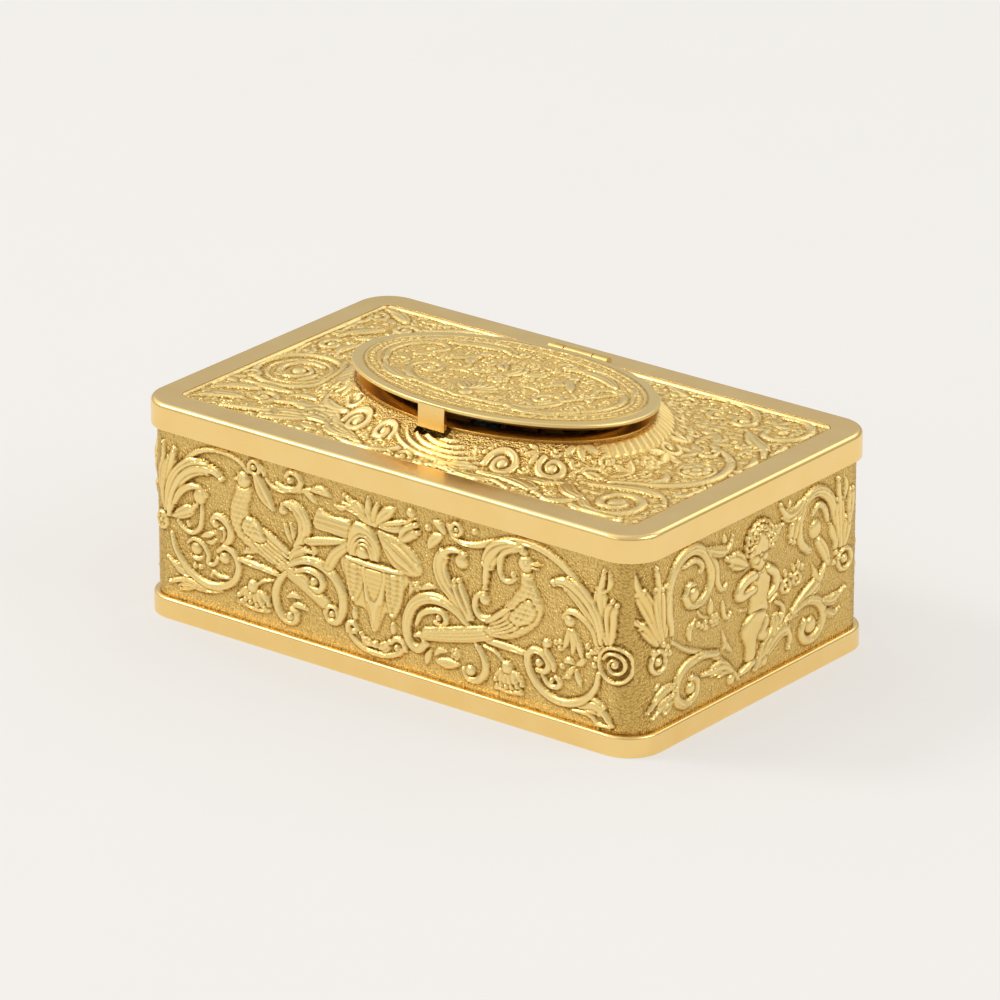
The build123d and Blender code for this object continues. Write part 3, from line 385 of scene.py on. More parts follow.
    def sprig(self, u, v, size, turn, height):
        """Three small leaves from one stem."""
        back = np.array([math.cos(turn * 6.28), math.sin(turn * 6.28)])
        start = np.array([u, v]) - 0.7 * size * back
        for spread in (-0.7, 0.0, 0.7):
            a = turn * 2 * math.pi + spread
            d = np.array([math.cos(a), math.sin(a)])
            side = np.array([-d[1], d[0]]) * spread * 0.25 * size
            leaf = np.array([start, start + 0.8 * size * d + side, start + 1.6 * size * d + side * 2])
            self.petal(leaf, size * 0.75, height)

    def crowd(self, seed, tries, largest, keep, height=0.5):
        """Fills the bare places with small scrolls, leaves, flowers and beads, the largest that fit."""
        rng = np.random.default_rng(seed)
        low, high = (self.us[0], self.vs[0]), (self.us[-1], self.vs[-1])
        for size in largest * np.array([1.0, 0.72, 0.5, 0.34, 0.22]):
            for u, v, turn, kind in rng.random((int(tries / size), 4)):
                u, v = low[0] + u * (high[0] - low[0]), low[1] + v * (high[1] - low[1])
                if not keep(u, v):
                    continue
                where = self.window(np.array([[u, v]]), size * 0.8)
                if where is None or np.mean(self.z[where] > 0.1) > 0.06:
                    continue
                if size > 0.9 and kind < 0.35:
                    hand = 1 if kind * 10 % 1 < 0.5 else -1
                    self.curl(u, v, size * 0.9, 1.2, turn * 360, hand, size * 0.42, height * 1.1, 2)
                elif size > 0.9 and kind < 0.5:
                    self.flower(u, v, size * 0.85, 5 if turn < 0.5 else 6, height)
                elif size > 0.5:
                    self.sprig(u, v, size, turn, height)
                else:
                    self.ball(u, v, size * 0.9, height * 0.8)

    def finish(self, seed, grain=0.12):
        """Softens the edges a little and gives the ground its fine matting."""
        rng = np.random.default_rng(seed)
        self.z = 0.7 * self.z + 0.3 * box_blur(self.z, 1)
        self.raised = np.clip(self.z / 0.2, 0, 1)
        # How far each place lies below or above its surroundings, kept as cavity shading: painted shade
        # in the hollows and painted highlight on the high places
        cavity_shading = self.z - box_blur(box_blur(self.z, 2), 2)
        self.cavity_shading = np.clip(0.5 + cavity_shading / 0.6, 0, 1)
        self.z = self.z + (1 - self.raised) * (rng.random(self.z.shape) - 0.5) * grain
        return self


def scales(size, depth=0.4):
    """Small overlapping feathers, as a share of the height."""

    def texture(u, v):
        row = np.floor(v / size)
        x = (u / size + 0.5 * (row % 2)) % 1.0 - 0.5
        y = (v / size) % 1.0
        return 1 - depth * np.clip(3.4 * x**2 + 1.1 * (1 - y) ** 2, 0, 1)

    return texture


def folds(spacing, depth):
    """Level ribs, as on ribbon and cloth."""
    return lambda u, v: 1 - depth + depth * np.cos(2 * np.pi * v / spacing)


def front_relief():
    """Two birds among scrolls on each side of a draped trophy.

    u runs right from the case's left end, v down from its top edge.
    """
    r = Relief(0.0, 4.6, 104.0, 34.4, DRAWING_STEP)
    # Left scrolls
    r.frond("4.9,18 4.8,13 5.2,9.5 5.2,7", 1.6, 0.45)
    r.frond("5.7,19 5.8,15 6.6,11 7.6,7.8 8.2,6.2", 2.5, 0.55, 4)
    r.rib("6.1,19.5 6.4,16 7.5,12.6 9.5,9.6 12,7.4 15,6.1 18.5,5.8 21.5,6.5 23.5,8", 1.0, 0.5, 2)
    r.frond("6.4,19.6 6.9,15.8 8.5,12.4 11,10.2 14,9.4 17,9.8 19.2,12.2", 3.0, 0.75, 4)
    r.frond("7.2,19.6 9.4,18.5 11.4,17.4 12.4,16.3", 1.8, 0.5)
    r.rib("13.4,15.6 13.4,18 12.9,20.4 11.2,21.7 9.4,21.2 8.2,20.2", 1.0)
    r.rib("7.6,17.2 8.7,15.2 10.5,13.7 12.6,13.3 14.3,14.4", 1.4, 0.6, 2)
    r.ball(12.9, 14.9, 1.35, 0.65)
    r.petal("10.2,19.6 10.7,20.9", 1.0)
    r.rib("17.8,22.4 19.3,21 19.5,19 18.2,17.7 16.5,17.4 15.6,18.6", 1.6, 0.6, 2)
    r.ball(16.3, 18.9, 0.75)
    r.rib("16.9,19.6 18,19.4 18.1,20.9 17.5,21.8", 0.6, 0.4)
    r.petal("13,21.9 14.7,21.2 16.4,20.4", 1.2)
    r.petal("14.3,22.6 15.5,22.4 16.5,21.4", 0.9)
    r.rib("10.2,23.7 11.6,22.6 13.6,23.2 14.7,24.8 14.5,26.2 15.8,26.2 16.7,24.9", 1.0, 0.5, 2)
    r.ball(12, 24.3, 1.15, 0.5)
    r.petal("10.8,25.8 12.5,26 13.6,25.2", 1.0)
    r.balls("11.7,27.5 12.9,27.4", 0.55)
    r.frond("17.5,30.5 13,30.6 9.5,30.5 6.4,31.5", 1.9, 0.5)
    r.frond("11.5,29.4 8.6,28.7 5.9,27.2", 1.4, 0.45)
    r.frond("12,31.2 9.5,31.7 7,32.6", 1.0, 0.35, 2)
    r.rib(
        "6.9,22.8 7.6,25.2 9.3,27.5 12,29.3 15,30 18,29.5 20.4,27.8 21.2,25.3 20.3,23.2 18.4,22.5 "
        "16.9,23.5",
        1.5, 0.65, 2,
    )
    r.ball(18.1, 24.5, 1.1, 0.6)
    r.rib("15.2,28.5 15.8,27.5 17,28 19,27.8", 0.9, 0.4)
    r.ring(4.5, 21, 1.3, 0.8, 0.5)
    r.flower(4.5, 21, 1.2, 5, 0.6)
    # Left bird on its perch
    r.petal("22,22.6 23.6,21.8 25.4,21.6", 1.3)
    r.petal("22.6,23.2 24.2,22.8", 0.9)
    r.rib("21.4,23.8 24,24 27,24.2 29.4,24.5", 1.4, 0.6, 2)
    r.stroke("27,21 31,22.6 35,24.6 39.8,27.3", 3.1, 0.75, 5, 0.8, 0.75, 0.4)
    r.shape(
        "21.1,10.4 20.6,11.8 19.8,13.6 19.4,16 19.8,18.2 21.2,20.1 23.4,21.3 26,22.2 29,23 30,21.6 "
        "27,19 24,16 23.4,14 24,12.2 23.8,10.4",
        0.8, 1.7, scales(0.95),
    )
    r.ball(22.4, 9.5, 1.45, 0.85)
    r.petal("21.6,9.4 20.3,9.9", 0.8, 0.7)
    r.ball(22.1, 9.2, 0.3, 0.95)
    for k in range(5):
        low = np.array([23.2 + 0.3 * k, 18.9 - 0.6 * k])
        feather = np.array([low, low + (4.0, 2.0 - 0.1 * k), low + (8.0 + 0.4 * k, 4.3 + 0.1 * k)])
        r.petal(feather, 1.15, 0.85)
    r.shape(
        "22.2,17.4 23.2,15.8 25,15.8 26.6,17.2 27.4,19 25.8,19.8 23.8,19.4 22.6,18.6",
        0.98, 0.8, scales(0.9),
    )
    # Top scrolls between the bird and the trophy
    r.ring(24.8, 6.8, 1.1, 0.9, 0.6)
    r.ball(24.7, 6.8, 0.6, 0.6)
    r.petal("26.2,6 26.8,7.4 26.6,8", 1.0, 0.5)
    r.stroke("25.2,8.2 26.6,10.8 28.9,13.4", 3.0, 0.65, 2, 0.5, 0.15, 0.45)
    r.rib("27.2,8.2 28.5,9.2 30.5,9.4 33,9.1 35,8.4 37.2,7.6", 0.9, 0.45, 2)
    r.rib("29.5,8.4 31.5,8.9 33.6,8.5 34.6,7.2 33.9,6 32.3,5.8 31.4,6.8", 1.2, 0.55, 2)
    r.ball(32.3, 7.3, 0.6)
    r.petal("36.6,7.9 39,7.4 41.2,8.1", 1.9, 0.55)
    r.petal("35.3,8.6 36.6,8.9 37.8,10", 1.5, 0.5)
    # Fan leaf and scrolls right of the bird
    r.frond("33.2,18.6 35,16.6 35.3,13.9 33.6,11.8 31.2,11.6 30,13.2", 2.4, 0.7, 4)
    r.ball(30.8, 12.8, 0.9, 0.7)
    r.petal("32.6,18.4 31.7,16.4 30.9,15", 1.2, 0.5)
    r.petal("33,18 32.8,16 32,14.6", 0.9, 0.45)
    r.frond("32.3,21.2 33.5,19.6 35.6,18.7 37.4,18.9", 1.5, 0.55)
    r.petal("36.2,17.3 37.4,18.2 37,19.6", 1.1, 0.4)
    r.rib("32.4,21.9 35,20.6 38,20.3 41,21.5 43,24.1 43.3,27 42.2,29.4 40.6,29.7 39.8,28.6", 2.0, 0.8, 3)
    r.rib("40,28.4 40.4,27.4 41.8,27.4 42.1,28.6", 0.8, 0.6)
    r.ball(41.1, 28.5, 0.7, 0.7)
    r.rib("33.6,22.8 36,22 38.4,22.5 39.1,24 38.2,25.2 36.9,24.7", 1.4, 0.65, 2)
    r.ball(37.2, 23.8, 0.8, 0.6)
    r.rib("31.4,23.7 29.8,25.6 29,28 29.6,30.7 31.3,32.1 33.1,31.8 33.5,30.4 32.4,29.9", 1.7, 0.65, 3)
    r.ball(32.1, 31.2, 0.8, 0.6)
    r.petal("31.2,28.1 33,27.3 34.6,27.7", 1.2)
    r.petal("32.2,29.3 34.2,28.9 36.2,29.3", 1.3)
    # Left tassel
    r.rib("28.5,25.8 26.4,26.5 24.9,27.7", 0.7, 0.45)
    r.shape(
        "23.6,28 22.4,29.8 20.6,31.6 22.6,32 24.4,32.3 26.2,32.2 28,31.6 26.4,29.8 25.4,28",
        0.45, 0.6,
    )
    for skirt in (
        "23.5,28.4 22.4,30 20.3,31.4",
        "24,28.6 23.4,30.4 22.8,31.8",
        "24.5,28.7 24.4,30.4 24.3,32",
        "25,28.7 25.6,30.4 25.8,32.1",
        "25.5,28.5 26.7,30.2 28.2,31.8",
    ):
        r.frond(skirt, 1.7, 0.55, 2)
    r.ball(24.2, 27.9, 1.15, 0.7)
    # Trophy: ribbon, horns, boss, leaves and shell
    r.shape("37.2,14 38.3,10.5 41,11.3 44.9,11.2 44.9,14.3 41,14.4", 0.5, 0.5, folds(0.95, 0.22))
    r.stroke("36,17 40,16 44.6,14.9", 1.7, 0.5, 2, 0.9, 0.6, 0.2)
    r.stroke("40.4,20.2 41.7,18 44.6,15.6", 2.3, 0.5, 2, 0.9, 0.7, 0.2)
    r.frond("50.4,10.7 47,9 43.8,6.9", 2.0, 0.55, 3)
    r.frond("48,9.6 44.5,8.9 41.4,8.4", 1.0, 0.4, 2)
    r.petal("44.4,8.8 43,9.5 41.6,9.2", 1.1, 0.4)
    r.petal("49.6,10.4 48.8,8.2 48.7,5.8", 1.5, 0.55)
    r.petal("50,10.4 50.1,8.4 50.7,6.5", 1.4, 0.55)
    r.petal("50.4,10.5 51.9,8.6 54.4,6.5", 2.4, 0.65)
    r.frond("51.2,10.6 55,9.7 58.6,8.1", 1.5, 0.5, 2)
    r.frond("55.2,12.2 57.6,9.8 60.8,8.4", 1.9, 0.55, 2)
    r.rib("56.2,8.9 57.4,8 58.6,7.4", 0.6, 0.4)
    r.ball(57.5, 6.7, 0.95, 0.55)
    r.ball(61, 8.4, 0.65, 0.5)
    r.petal("62,6.9 63.4,7.4 64.6,8.7", 1.7, 0.5)
    r.petal("61.2,12 62.2,10.2 64.2,8.9", 2.2, 0.55)
    r.shape("44.7,17.4 44.4,14.5 45.4,11.5 47.3,10.8 49.4,11.4 50.9,13.5 50.8,16.8 48,17.6", 0.75, 1.6)
    for radius in (3.1, 2.5, 1.9):
        angles = np.radians(np.arange(180, 361, 20))
        arc = np.stack([47.9 + radius * 0.85 * np.cos(angles), 16.9 + radius * 1.25 * np.sin(angles)], 1)
        r.stroke(arc, 0.62, 0.55, 1, 1, 1)
    r.ball(47.6, 16.2, 1.3, 0.75)
    r.shape(
        "50.5,11.4 52.5,11.4 55,11.8 57.6,12.9 59.4,14.5 59.9,16.3 58.8,17.6 56.4,17.9 53.8,17 "
        "52,15 51,13",
        0.85, 2.4,
    )
    r.rib("51.2,11.8 54.6,13.8 57.6,15.6 59,16.6", 0.55, 0.25)
    r.rib("52.2,12 55.6,12.9 58.8,15", 0.4, 0.18)
    r.rib("52.4,14.2 54.4,16 57,17", 0.4, 0.18)
    ribbed = folds(0.85, 0.25)
    r.shape(
        "43.7,17.6 56.2,17.6 55.8,21.5 54.6,25.2 53.4,26.4 52.2,25.5 50,29.8 48,26 45.6,25.6 "
        "44.2,22.5",
        0.3, 0.5,
    )
    r.shape("43.9,17.9 47.5,17.9 47.7,21.4 46.8,23.8 45.6,25.3 44.6,23.6 44,21", 0.6, 0.55, ribbed)
    r.shape("52.4,17.9 56,17.9 55.9,21.4 55,24.6 53.6,26.3 52.6,24 52.2,21", 0.6, 0.55, ribbed)
    r.shape("47.8,17.9 52.3,17.9 52.2,21.6 51.5,25.4 50,29.5 48.6,26.2 47.9,22", 0.7, 0.5)
    r.shape("48.4,18.4 51.7,18.4 51.5,21.4 50,24 48.5,21.4", 0.35, 0.5, ribbed)
    for line in (
        "44.9,18.6 44.9,21.6 45.6,24",
        "46.6,18.6 46.8,21.2 45.7,24",
        "53.3,18.6 53.2,21.6 53.7,25",
        "55,18.6 55,21.8 53.8,25",
        "48.7,24.4 49.3,26.8 50,28.6",
        "51.3,24.4 50.7,26.8 50.1,28.6",
    ):
        r.rib(line, 0.4, 0.22)
    r.rib("44.1,17.5 48,17.8 52,17.8 55.9,17.5", 1.1, 0.65)
    r.petal("45.7,25.9 45.8,28.6", 1.2, 0.5)
    r.petal("53.7,26.7 53.8,29", 1.2, 0.5)
    r.rib("44.6,29.6 45,31.2 47,32.6 50,33.1 53,32.8 55.4,31.6 56.2,30", 1.2, 0.55, 2)
    r.rib("44.2,30.8 44.3,29.4 45.5,29 46.4,30", 1.0, 0.5)
    r.ball(45.6, 30.4, 0.6, 0.5)
    r.frond("49.6,31.9 48.2,31.6 47,30.4", 1.5, 0.5)
    r.frond("50.6,31.9 52,31.6 53,30.2", 1.5, 0.5)
    r.ball(50.1, 31.6, 0.7, 0.6)
    r.rib("53.3,30.6 54.4,29.5 56,29.9 56.4,31.1", 1.1, 0.5)
    r.ball(54.5, 31.1, 0.6, 0.5)
    # Scrolls left of the right bird
    r.flower(58.6, 19.2, 1.0, 5, 0.45)
    r.petal("59.4,19.6 61,18.6 62.8,18.4", 1.2, 0.4)
    r.petal("57.2,21 57.6,19.8 57.2,18.7", 0.9, 0.4)
    r.frond("69.6,22.2 67,19.2 64.7,17 63.6,14.6 64.2,12.2 66.2,10.9 68.6,11.1", 2.3, 0.75, 3)
    r.frond("70.2,22 68.1,18.6 66.9,15.8 66.5,13.2", 1.6, 0.6, 2)
    r.ball(67.9, 12.5, 1.35, 0.7)
    r.rib(
        "69.6,23.6 67,21.4 64,20.4 61,20.6 58.4,22.1 57,24.5 56.6,27 57.3,29.3 59.1,30 60.5,28.7",
        2.2, 0.8, 3,
    )
    r.rib("60.4,28.4 59.6,27.4 58.4,27.8", 1.1, 0.65)
    r.rib("58.6,25.8 59.6,23.8 61.5,22.7 63.8,22.3 64.8,23.6 63.9,24.9 62.5,24.4", 1.3, 0.6, 2)
    r.ball(63.2, 23.5, 0.6, 0.6)
    r.petal("60.7,32.4 60.9,31 61.6,29.5", 1.4, 0.45)
    r.petal("62.4,31.2 65,31 67.7,30.5", 2.1, 0.5)
    r.petal("62.2,30.4 63.4,29.2 65,29", 1.2, 0.4)
    r.flower(66.6, 29, 1.1, 5, 0.5)
    r.rib("70.8,26 72.4,28 72.8,30.3 71.5,32.2 69.4,32.5 68.4,31.2", 1.5, 0.6, 3)
    r.ball(69.8, 31, 1.0, 0.65)
    # Arc over the right bird, with its plume
    r.rib(
        "65.2,6.8 66.2,8.5 68.3,9.2 71,8.9 74,7.8 78,6.4 82,6 86,6.8 90,9 93.3,12.3 95.5,16 "
        "96.4,19.8",
        1.5, 0.6, 2,
    )
    r.ring(66.9, 7.2, 1.0, 0.8, 0.5)
    r.ball(66.9, 7.3, 0.5, 0.5)
    r.ball(70.6, 6.7, 0.65, 0.5)
    r.frond("80.5,6.9 76.7,7.8 74.4,9.5 73.2,12 72.8,15.8", 2.5, 0.75, 3)
    r.rib("79,7.4 76.5,9 75.7,11.5 76.4,13.3 77.8,13.5 78.8,12.7", 1.2, 0.55, 2)
    r.ball(78.4, 12.1, 0.55, 0.5)
    r.rib("78,16.8 76.5,19.1 74,20.9 71.9,21.1 70.7,19.6 71,17.8 72.7,16.8", 1.4, 0.6, 2)
    r.ball(72.7, 17.9, 1.05, 0.65)
    # Right bird
    r.rib("72.4,24.9 76,24.9 81.6,25.1", 1.5, 0.5, 2)
    r.stroke("75.5,22.8 71,24.3 66,25.7 60.9,26.9", 3.0, 0.8, 5, 0.6, 0.85, 0.4)
    r.shape(
        "80,10.8 79.9,13.6 78.6,15.4 77.4,17.6 76.4,19.8 74.6,21.6 72.6,22.9 74,23.9 77,23.8 "
        "79.6,22.7 82,21 83.8,18.9 84.5,16.6 84,14.5 82.7,12.5 82.2,10.8",
        0.95, 2.2, scales(1.0),
    )
    for k in range(5):
        high = np.array([81.6 - 0.75 * k, 19.0 - 0.35 * k])
        r.petal(np.array([high, high + (-3.2, 2.3), high + (-7.2 + 0.4 * k, 4.4)]), 1.15, 0.85)
    r.shape(
        "83.4,17 82.2,15.4 80.6,16.2 79,17.8 77.8,19.6 79.4,20.7 81.6,19.9 83,18.6",
        0.98, 0.8, scales(0.9),
    )
    r.ball(81, 9.6, 1.5, 0.9)
    r.petal("82,9.3 84.4,9", 0.8, 0.75)
    r.petal("82,10 83.8,9.9", 0.6, 0.6)
    r.ball(81.4, 9.2, 0.3, 1.0)
    r.ball(80.6, 7.7, 0.7, 0.6)
    r.rib("80.2,8.2 79.8,7.2", 0.5, 0.5)
    # Right scrolls, flowers and rosette
    r.frond("97.4,19.2 96.3,15 96,11 96.8,6.8", 2.2, 0.6, 3)
    r.frond("98.1,19.2 98,14 99.3,11.2 100.8,10.2", 1.5, 0.45, 2)
    r.petal("97.2,10.4 97.9,8.6 97.6,6.6", 1.1, 0.4)
    r.frond("96.3,19.4 95,15.4 92,12.2 88.6,10.8 85.4,12", 3.2, 0.8, 4)
    r.rib("95.4,20.4 94.5,17.6 92.3,15.9 90,15.5 88.6,16.8", 1.4, 0.6, 2)
    r.ball(89.8, 17.2, 1.05, 0.65)
    for stem in (
        "89.7,18.3 89.4,20.4 88.6,22.5",
        "90.3,18.2 91.6,20.8 92.6,23.8",
        "90.1,18.4 90.6,20.8 90.4,23",
        "90.8,24.7 89.9,26 88.4,27.6",
        "91,25.2 91.6,26.6 92.2,28.1",
        "90.8,24.4 89.8,24 88.7,24.6",
        "91.2,24.4 92.2,23.8 93,23",
    ):
        r.petal(stem, 1.3, 0.5)
    r.balls(
        "87.1,21.6 88,21.3 87.9,22.4 93.4,20.7 94.3,21.4 93.5,22.2 94.7,23.6 95.1,22.4 88.3,25.4 "
        "89.5,26.9 86.6,26.4",
        0.55,
    )
    r.flower(95.6, 21, 1.0, 5, 0.5)
    r.ring(98.8, 22.6, 3.0, 0.75, 0.55)
    r.curl(98.8, 22.6, 2.2, 1.5, 200, 1, 0.8, 0.65, 1)
    r.frond("89,31.6 92,31.2 94.5,30.5 96.6,31.2 98.2,33.2", 2.5, 0.6, 3)
    r.rib("90.5,32.2 94,32.4 95.6,33.5 98,33.5", 0.9, 0.4)
    r.rib(
        "95.7,24.8 95,27.5 93,29.9 90,31.3 87,31.5 84,30.3 82,28 81.4,25.6 82.5,24.1 84.5,24.2 "
        "85.7,25.8 84.9,27.2 83.5,27.2",
        1.6, 0.7, 2,
    )
    r.ball(83.7, 26, 0.75, 0.65)
    r.rib("84.4,27.9 85.6,29.2 87.3,29.3 88,28.3 87.1,27.6", 1.1, 0.55, 2)
    r.ball(86.3, 28.4, 0.5, 0.55)
    r.rib("84.7,22.2 85.2,23.5 86.4,25 86.8,26.5", 1.1, 0.5)
    r.ball(85.3, 22.2, 0.85, 0.6)
    # Right tassel
    r.rib("72.5,25.9 75,26.5 76.8,28", 0.7, 0.45)
    r.shape(
        "76.8,28.6 75.6,30.6 74.5,32.7 76.2,33 77.6,33.1 79.2,32.9 80.6,32.5 79.4,30.4 78.2,28.6",
        0.45, 0.6,
    )
    for skirt in (
        "76.5,29 75.6,31 74.8,32.6",
        "77,29.2 76.7,31 76.5,32.9",
        "77.5,29.2 77.6,31 77.8,32.9",
        "78,29.1 78.5,30.8 79,32.7",
        "78.5,28.9 79.6,30.6 80.6,32.3",
    ):
        r.frond(skirt, 1.6, 0.55, 2)
    r.ball(77.3, 28.4, 1.15, 0.7)
    return r.finish(11)


def side_relief():
    """A winged child among scrolls. u runs rearwards from the case's front, v down from its top."""
    r = Relief(0.0, 4.6, 65.0, 34.4, DRAWING_STEP)
    # Sprays and rosette at the front corner
    r.frond("6.4,19.8 4.2,16.4 1.6,14.6", 1.9, 0.45, 3)
    r.frond("7,19.4 5,14 2.6,9 1.8,6.4", 2.2, 0.5, 3)
    r.frond("7.6,19.2 6.8,13.5 6.6,9.5 6,6.4", 2.2, 0.55, 3)
    r.frond("8.4,18.8 8.4,13 7.8,9 7.2,7", 1.7, 0.5, 2)
    r.ring(6.8, 22.8, 1.8, 0.9, 0.55)
    r.ball(6.8, 22.8, 0.8, 0.55)
    r.balls("8.2,20.2 9.2,21 8.6,21.8 9.8,22.2 5.6,20.8", 0.65)
    # Upper left scroll
    r.frond("9.9,18.4 9.4,14 10.4,10.8", 1.4, 0.5, 2)
    r.rib(
        "10.2,18.9 9.2,14.4 9.8,10.2 12,7.2 15.5,6.3 18.6,7.8 20.5,11 20.2,14 18,15.9 15,15.6 "
        "13.7,13.8",
        2.2, 0.75, 3,
    )
    r.rib("13.4,8.6 16.4,8.4 18.2,9.8 17.6,10.8", 1.2, 0.55, 2)
    r.rib("13.8,13.4 14.6,12.2 16.2,12.4", 1.2, 0.6)
    r.ball(16, 14.1, 1.25, 0.7)
    r.rib("19.4,7.8 21.9,10.8 22.4,14 23.6,15.8 24.8,15.2", 1.2, 0.5, 2)
    r.frond("19.2,7.4 22.5,8.9 25.2,9.2 26.3,7.3", 1.6, 0.5, 3)
    r.petal("24,6.4 24.4,8", 1.2, 0.4)
    # Flowers and the long branch
    r.petal("20.6,16.4 20.5,19.2", 1.5, 0.5)
    r.flower(21.8, 20.4, 1.3, 6, 0.5)
    r.balls("17.4,19.8 18.4,20.4 19.3,20 19.4,21", 0.6)
    r.rib("23.8,18 24.2,20.3 25.2,21.2 25.9,20.4", 0.9, 0.45)
    r.rib("17,17.4 18.4,18.8 20,19.4", 0.6, 0.35)
    r.frond("15,21.8 15,19.8 16.4,18.6", 1.2, 0.45)
    r.rib("10.4,20.6 14,23 19,25.3 23,27.6 26.3,30.4 28.4,33", 1.1, 0.5, 2)
    r.rib(
        "22.5,26.4 18,25.5 13.6,26.1 11.4,28.5 11.7,31 13.9,32.5 16.5,31.8 17.1,29.6 15.6,28.5",
        2.0, 0.7, 3,
    )
    r.ball(15.3, 30.1, 1.1, 0.65)
    r.frond("11.2,28.2 8.4,28.2 6,29.4 4.4,31", 1.6, 0.5)
    r.frond("11,29.6 8,30.6 5.4,32.2", 1.5, 0.5)
    r.frond("10.6,30.8 8.6,31.9 7.4,33", 1.2, 0.4, 2)
    r.petal("5.6,27.4 7.2,26.6", 1.1, 0.4)
    r.frond("26.6,31 23.6,29.2 21,29.2 18.4,28.9", 2.0, 0.55, 3)
    r.petal("25.4,30.4 22.6,30.8", 1.0, 0.4)
    r.petal("24,23 24.8,25.6 27,28", 1.2, 0.4)
    r.petal("24,26.6 24.8,25", 0.9, 0.4)
    r.ball(26.3, 32.3, 1.0, 0.5)
    # Winged child
    r.frond("30,13.6 27.4,12 24.7,10.8", 2.6, 0.6)
    r.frond("36.4,12 38,10.4 39.8,9.6", 2.0, 0.5)
    r.stroke("34.6,23.4 35.4,25.2 34.2,26.6 35.6,27.6 37.6,27.2", 2.3, 0.6, 1, 0.9, 0.6, 0.4)
    r.shape(
        "31.6,15.6 33.4,15 35.6,15.4 36.8,17.2 36.4,19.4 36,21.4 36.2,23 34.4,24.4 32,24.2 "
        "30.8,22.6 31.2,20 31,17.6",
        0.9, 2.6,
    )
    r.shape(
        "31,22.6 33.6,22.4 35.4,23.4 34.4,25.4 33.2,27 32.9,29 32.4,31 31,31.6 30,30.4 30,28 "
        "29,25.8 29.4,23.8",
        1.0, 2.4,
    )
    r.stroke("28.7,32 30.2,31.7 32,31.1", 1.6, 0.75, 1, 0.7, 0.8, 0.5)
    r.stroke("36,16 38,17.6 38,19.6 36,20.8", 1.9, 0.85, 1, 0.9, 0.7, 0.4)
    r.stroke("32,16 29.4,16.6 28,18 29,18.8 31.8,18.4", 2.1, 0.85, 1, 0.9, 0.7, 0.4)
    r.dent(33.6, 21.2, 0.35, 0.2)
    r.rib("28.3,21 30.4,21.6", 0.6, 0.35)
    r.rib("36.6,22.2 38.6,21.4", 0.6, 0.35)
    r.ball(33.2, 10.4, 3.3, 0.6)
    r.shape(
        "31,10.4 31,12.8 31.9,14.8 33.5,15.7 35.1,14.9 36.1,12.8 36.1,10.4 35.1,9.2 33.5,8.8 "
        "31.9,9.2",
        1.0, 2.3,
    )
    for k in range(11):
        a = math.radians(170 + 20 * k)
        u, v = 33.5 + 3.0 * math.cos(a), 11 + 3.2 * math.sin(a)
        r.curl(u, v, 0.95, 1.1, 40 * k, 1, 0.6, 0.8, 1)
    for k in range(6):
        a = math.radians(205 + 26 * k)
        u, v = 33.5 + 1.9 * math.cos(a), 10.6 + 2.1 * math.sin(a)
        r.curl(u, v, 0.8, 1.0, 60 * k, 1, 0.5, 0.95, 1)
    r.balls("32.4,13.4 34.8,13.4", 0.85, 0.66)
    r.ball(33.6, 12.8, 0.42, 0.74)
    r.dent(32.6, 12.1, 0.4, 0.1)
    r.dent(34.6, 12.1, 0.4, 0.1)
    r.dent(33.6, 14.1, 0.4, 0.1)
    # Flowers right of the child
    r.ring(41, 20.8, 1.1, 0.7, 0.5)
    r.ring(43.9, 20.4, 1.0, 0.7, 0.5)
    for stem in (
        "41,19.4 40.8,17.8",
        "43.4,19.2 42.8,17.5",
        "44.3,19.2 44.6,17.3",
        "44.9,19.4 46,18.2",
        "40,19.8 39.2,18.8",
    ):
        r.petal(stem, 1.0, 0.45)
    r.balls("41,20.8 43.9,20.4 42.4,19.4", 0.5)
    # Lower right branches
    r.frond("32.6,32.8 36.2,28.8 39.2,26.4 40.3,24.2 38.4,22.8", 1.9, 0.6, 3)
    r.frond("33.6,32.6 37,29.6 40.2,28.2 42.2,29.6 41.8,31.9", 2.1, 0.6, 3)
    r.frond("37.2,28.2 38.2,25.4 37.9,23.4", 1.1, 0.4, 2)
    r.ball(35.2, 32.1, 1.0, 0.5)
    r.frond("40.6,27 42.6,26.6 45,27.2", 1.1, 0.4)
    # Lower right scroll and its beast-headed leaf
    r.frond("42.6,25.9 46.2,24.4 49.6,22.8 52.2,19.8", 2.3, 0.65, 3)
    r.rib("43.2,26.2 46.6,25.4 50,26.4 51.6,29 50.2,31.8 47,32.4 45.4,30.6 46.2,28.8", 2.0, 0.7, 3)
    r.ball(48, 29.9, 1.5, 0.65)
    r.frond("51,26.6 54,27.4 57.4,26.2", 1.6, 0.5)
    r.frond("51.8,28.6 54,30 56,29.4", 1.3, 0.45)
    r.frond("49.6,22.6 49,20.8 48.4,19.6", 1.1, 0.4)
    # Upper right scroll
    r.rib("54.6,18.2 54.7,13.2 53,9.2 50,7 47,7.2 45,9.2 44.4,12 45.2,14.8 47.2,16.6", 2.2, 0.75, 3)
    r.rib("52.4,13 51.4,10.4 49.6,9.4 48.2,10.6", 1.3, 0.55, 2)
    r.ball(49, 13.4, 1.7, 0.6)
    r.stroke("50,15.8 51.6,18 52.6,20.4", 2.4, 0.6, 2, 0.8, 0.6, 0.4)
    r.petal("53.2,13.6 54.2,17.2", 1.5, 0.5)
    r.frond("45,8.6 43,10.9 42.6,13.4 40.8,15.4", 1.6, 0.5, 2)
    r.frond("46,7 43,8.8 40.6,8.2 39.2,6", 2.0, 0.5, 3)
    r.petal("42.2,6.2 41.4,7.4", 1.0, 0.4)
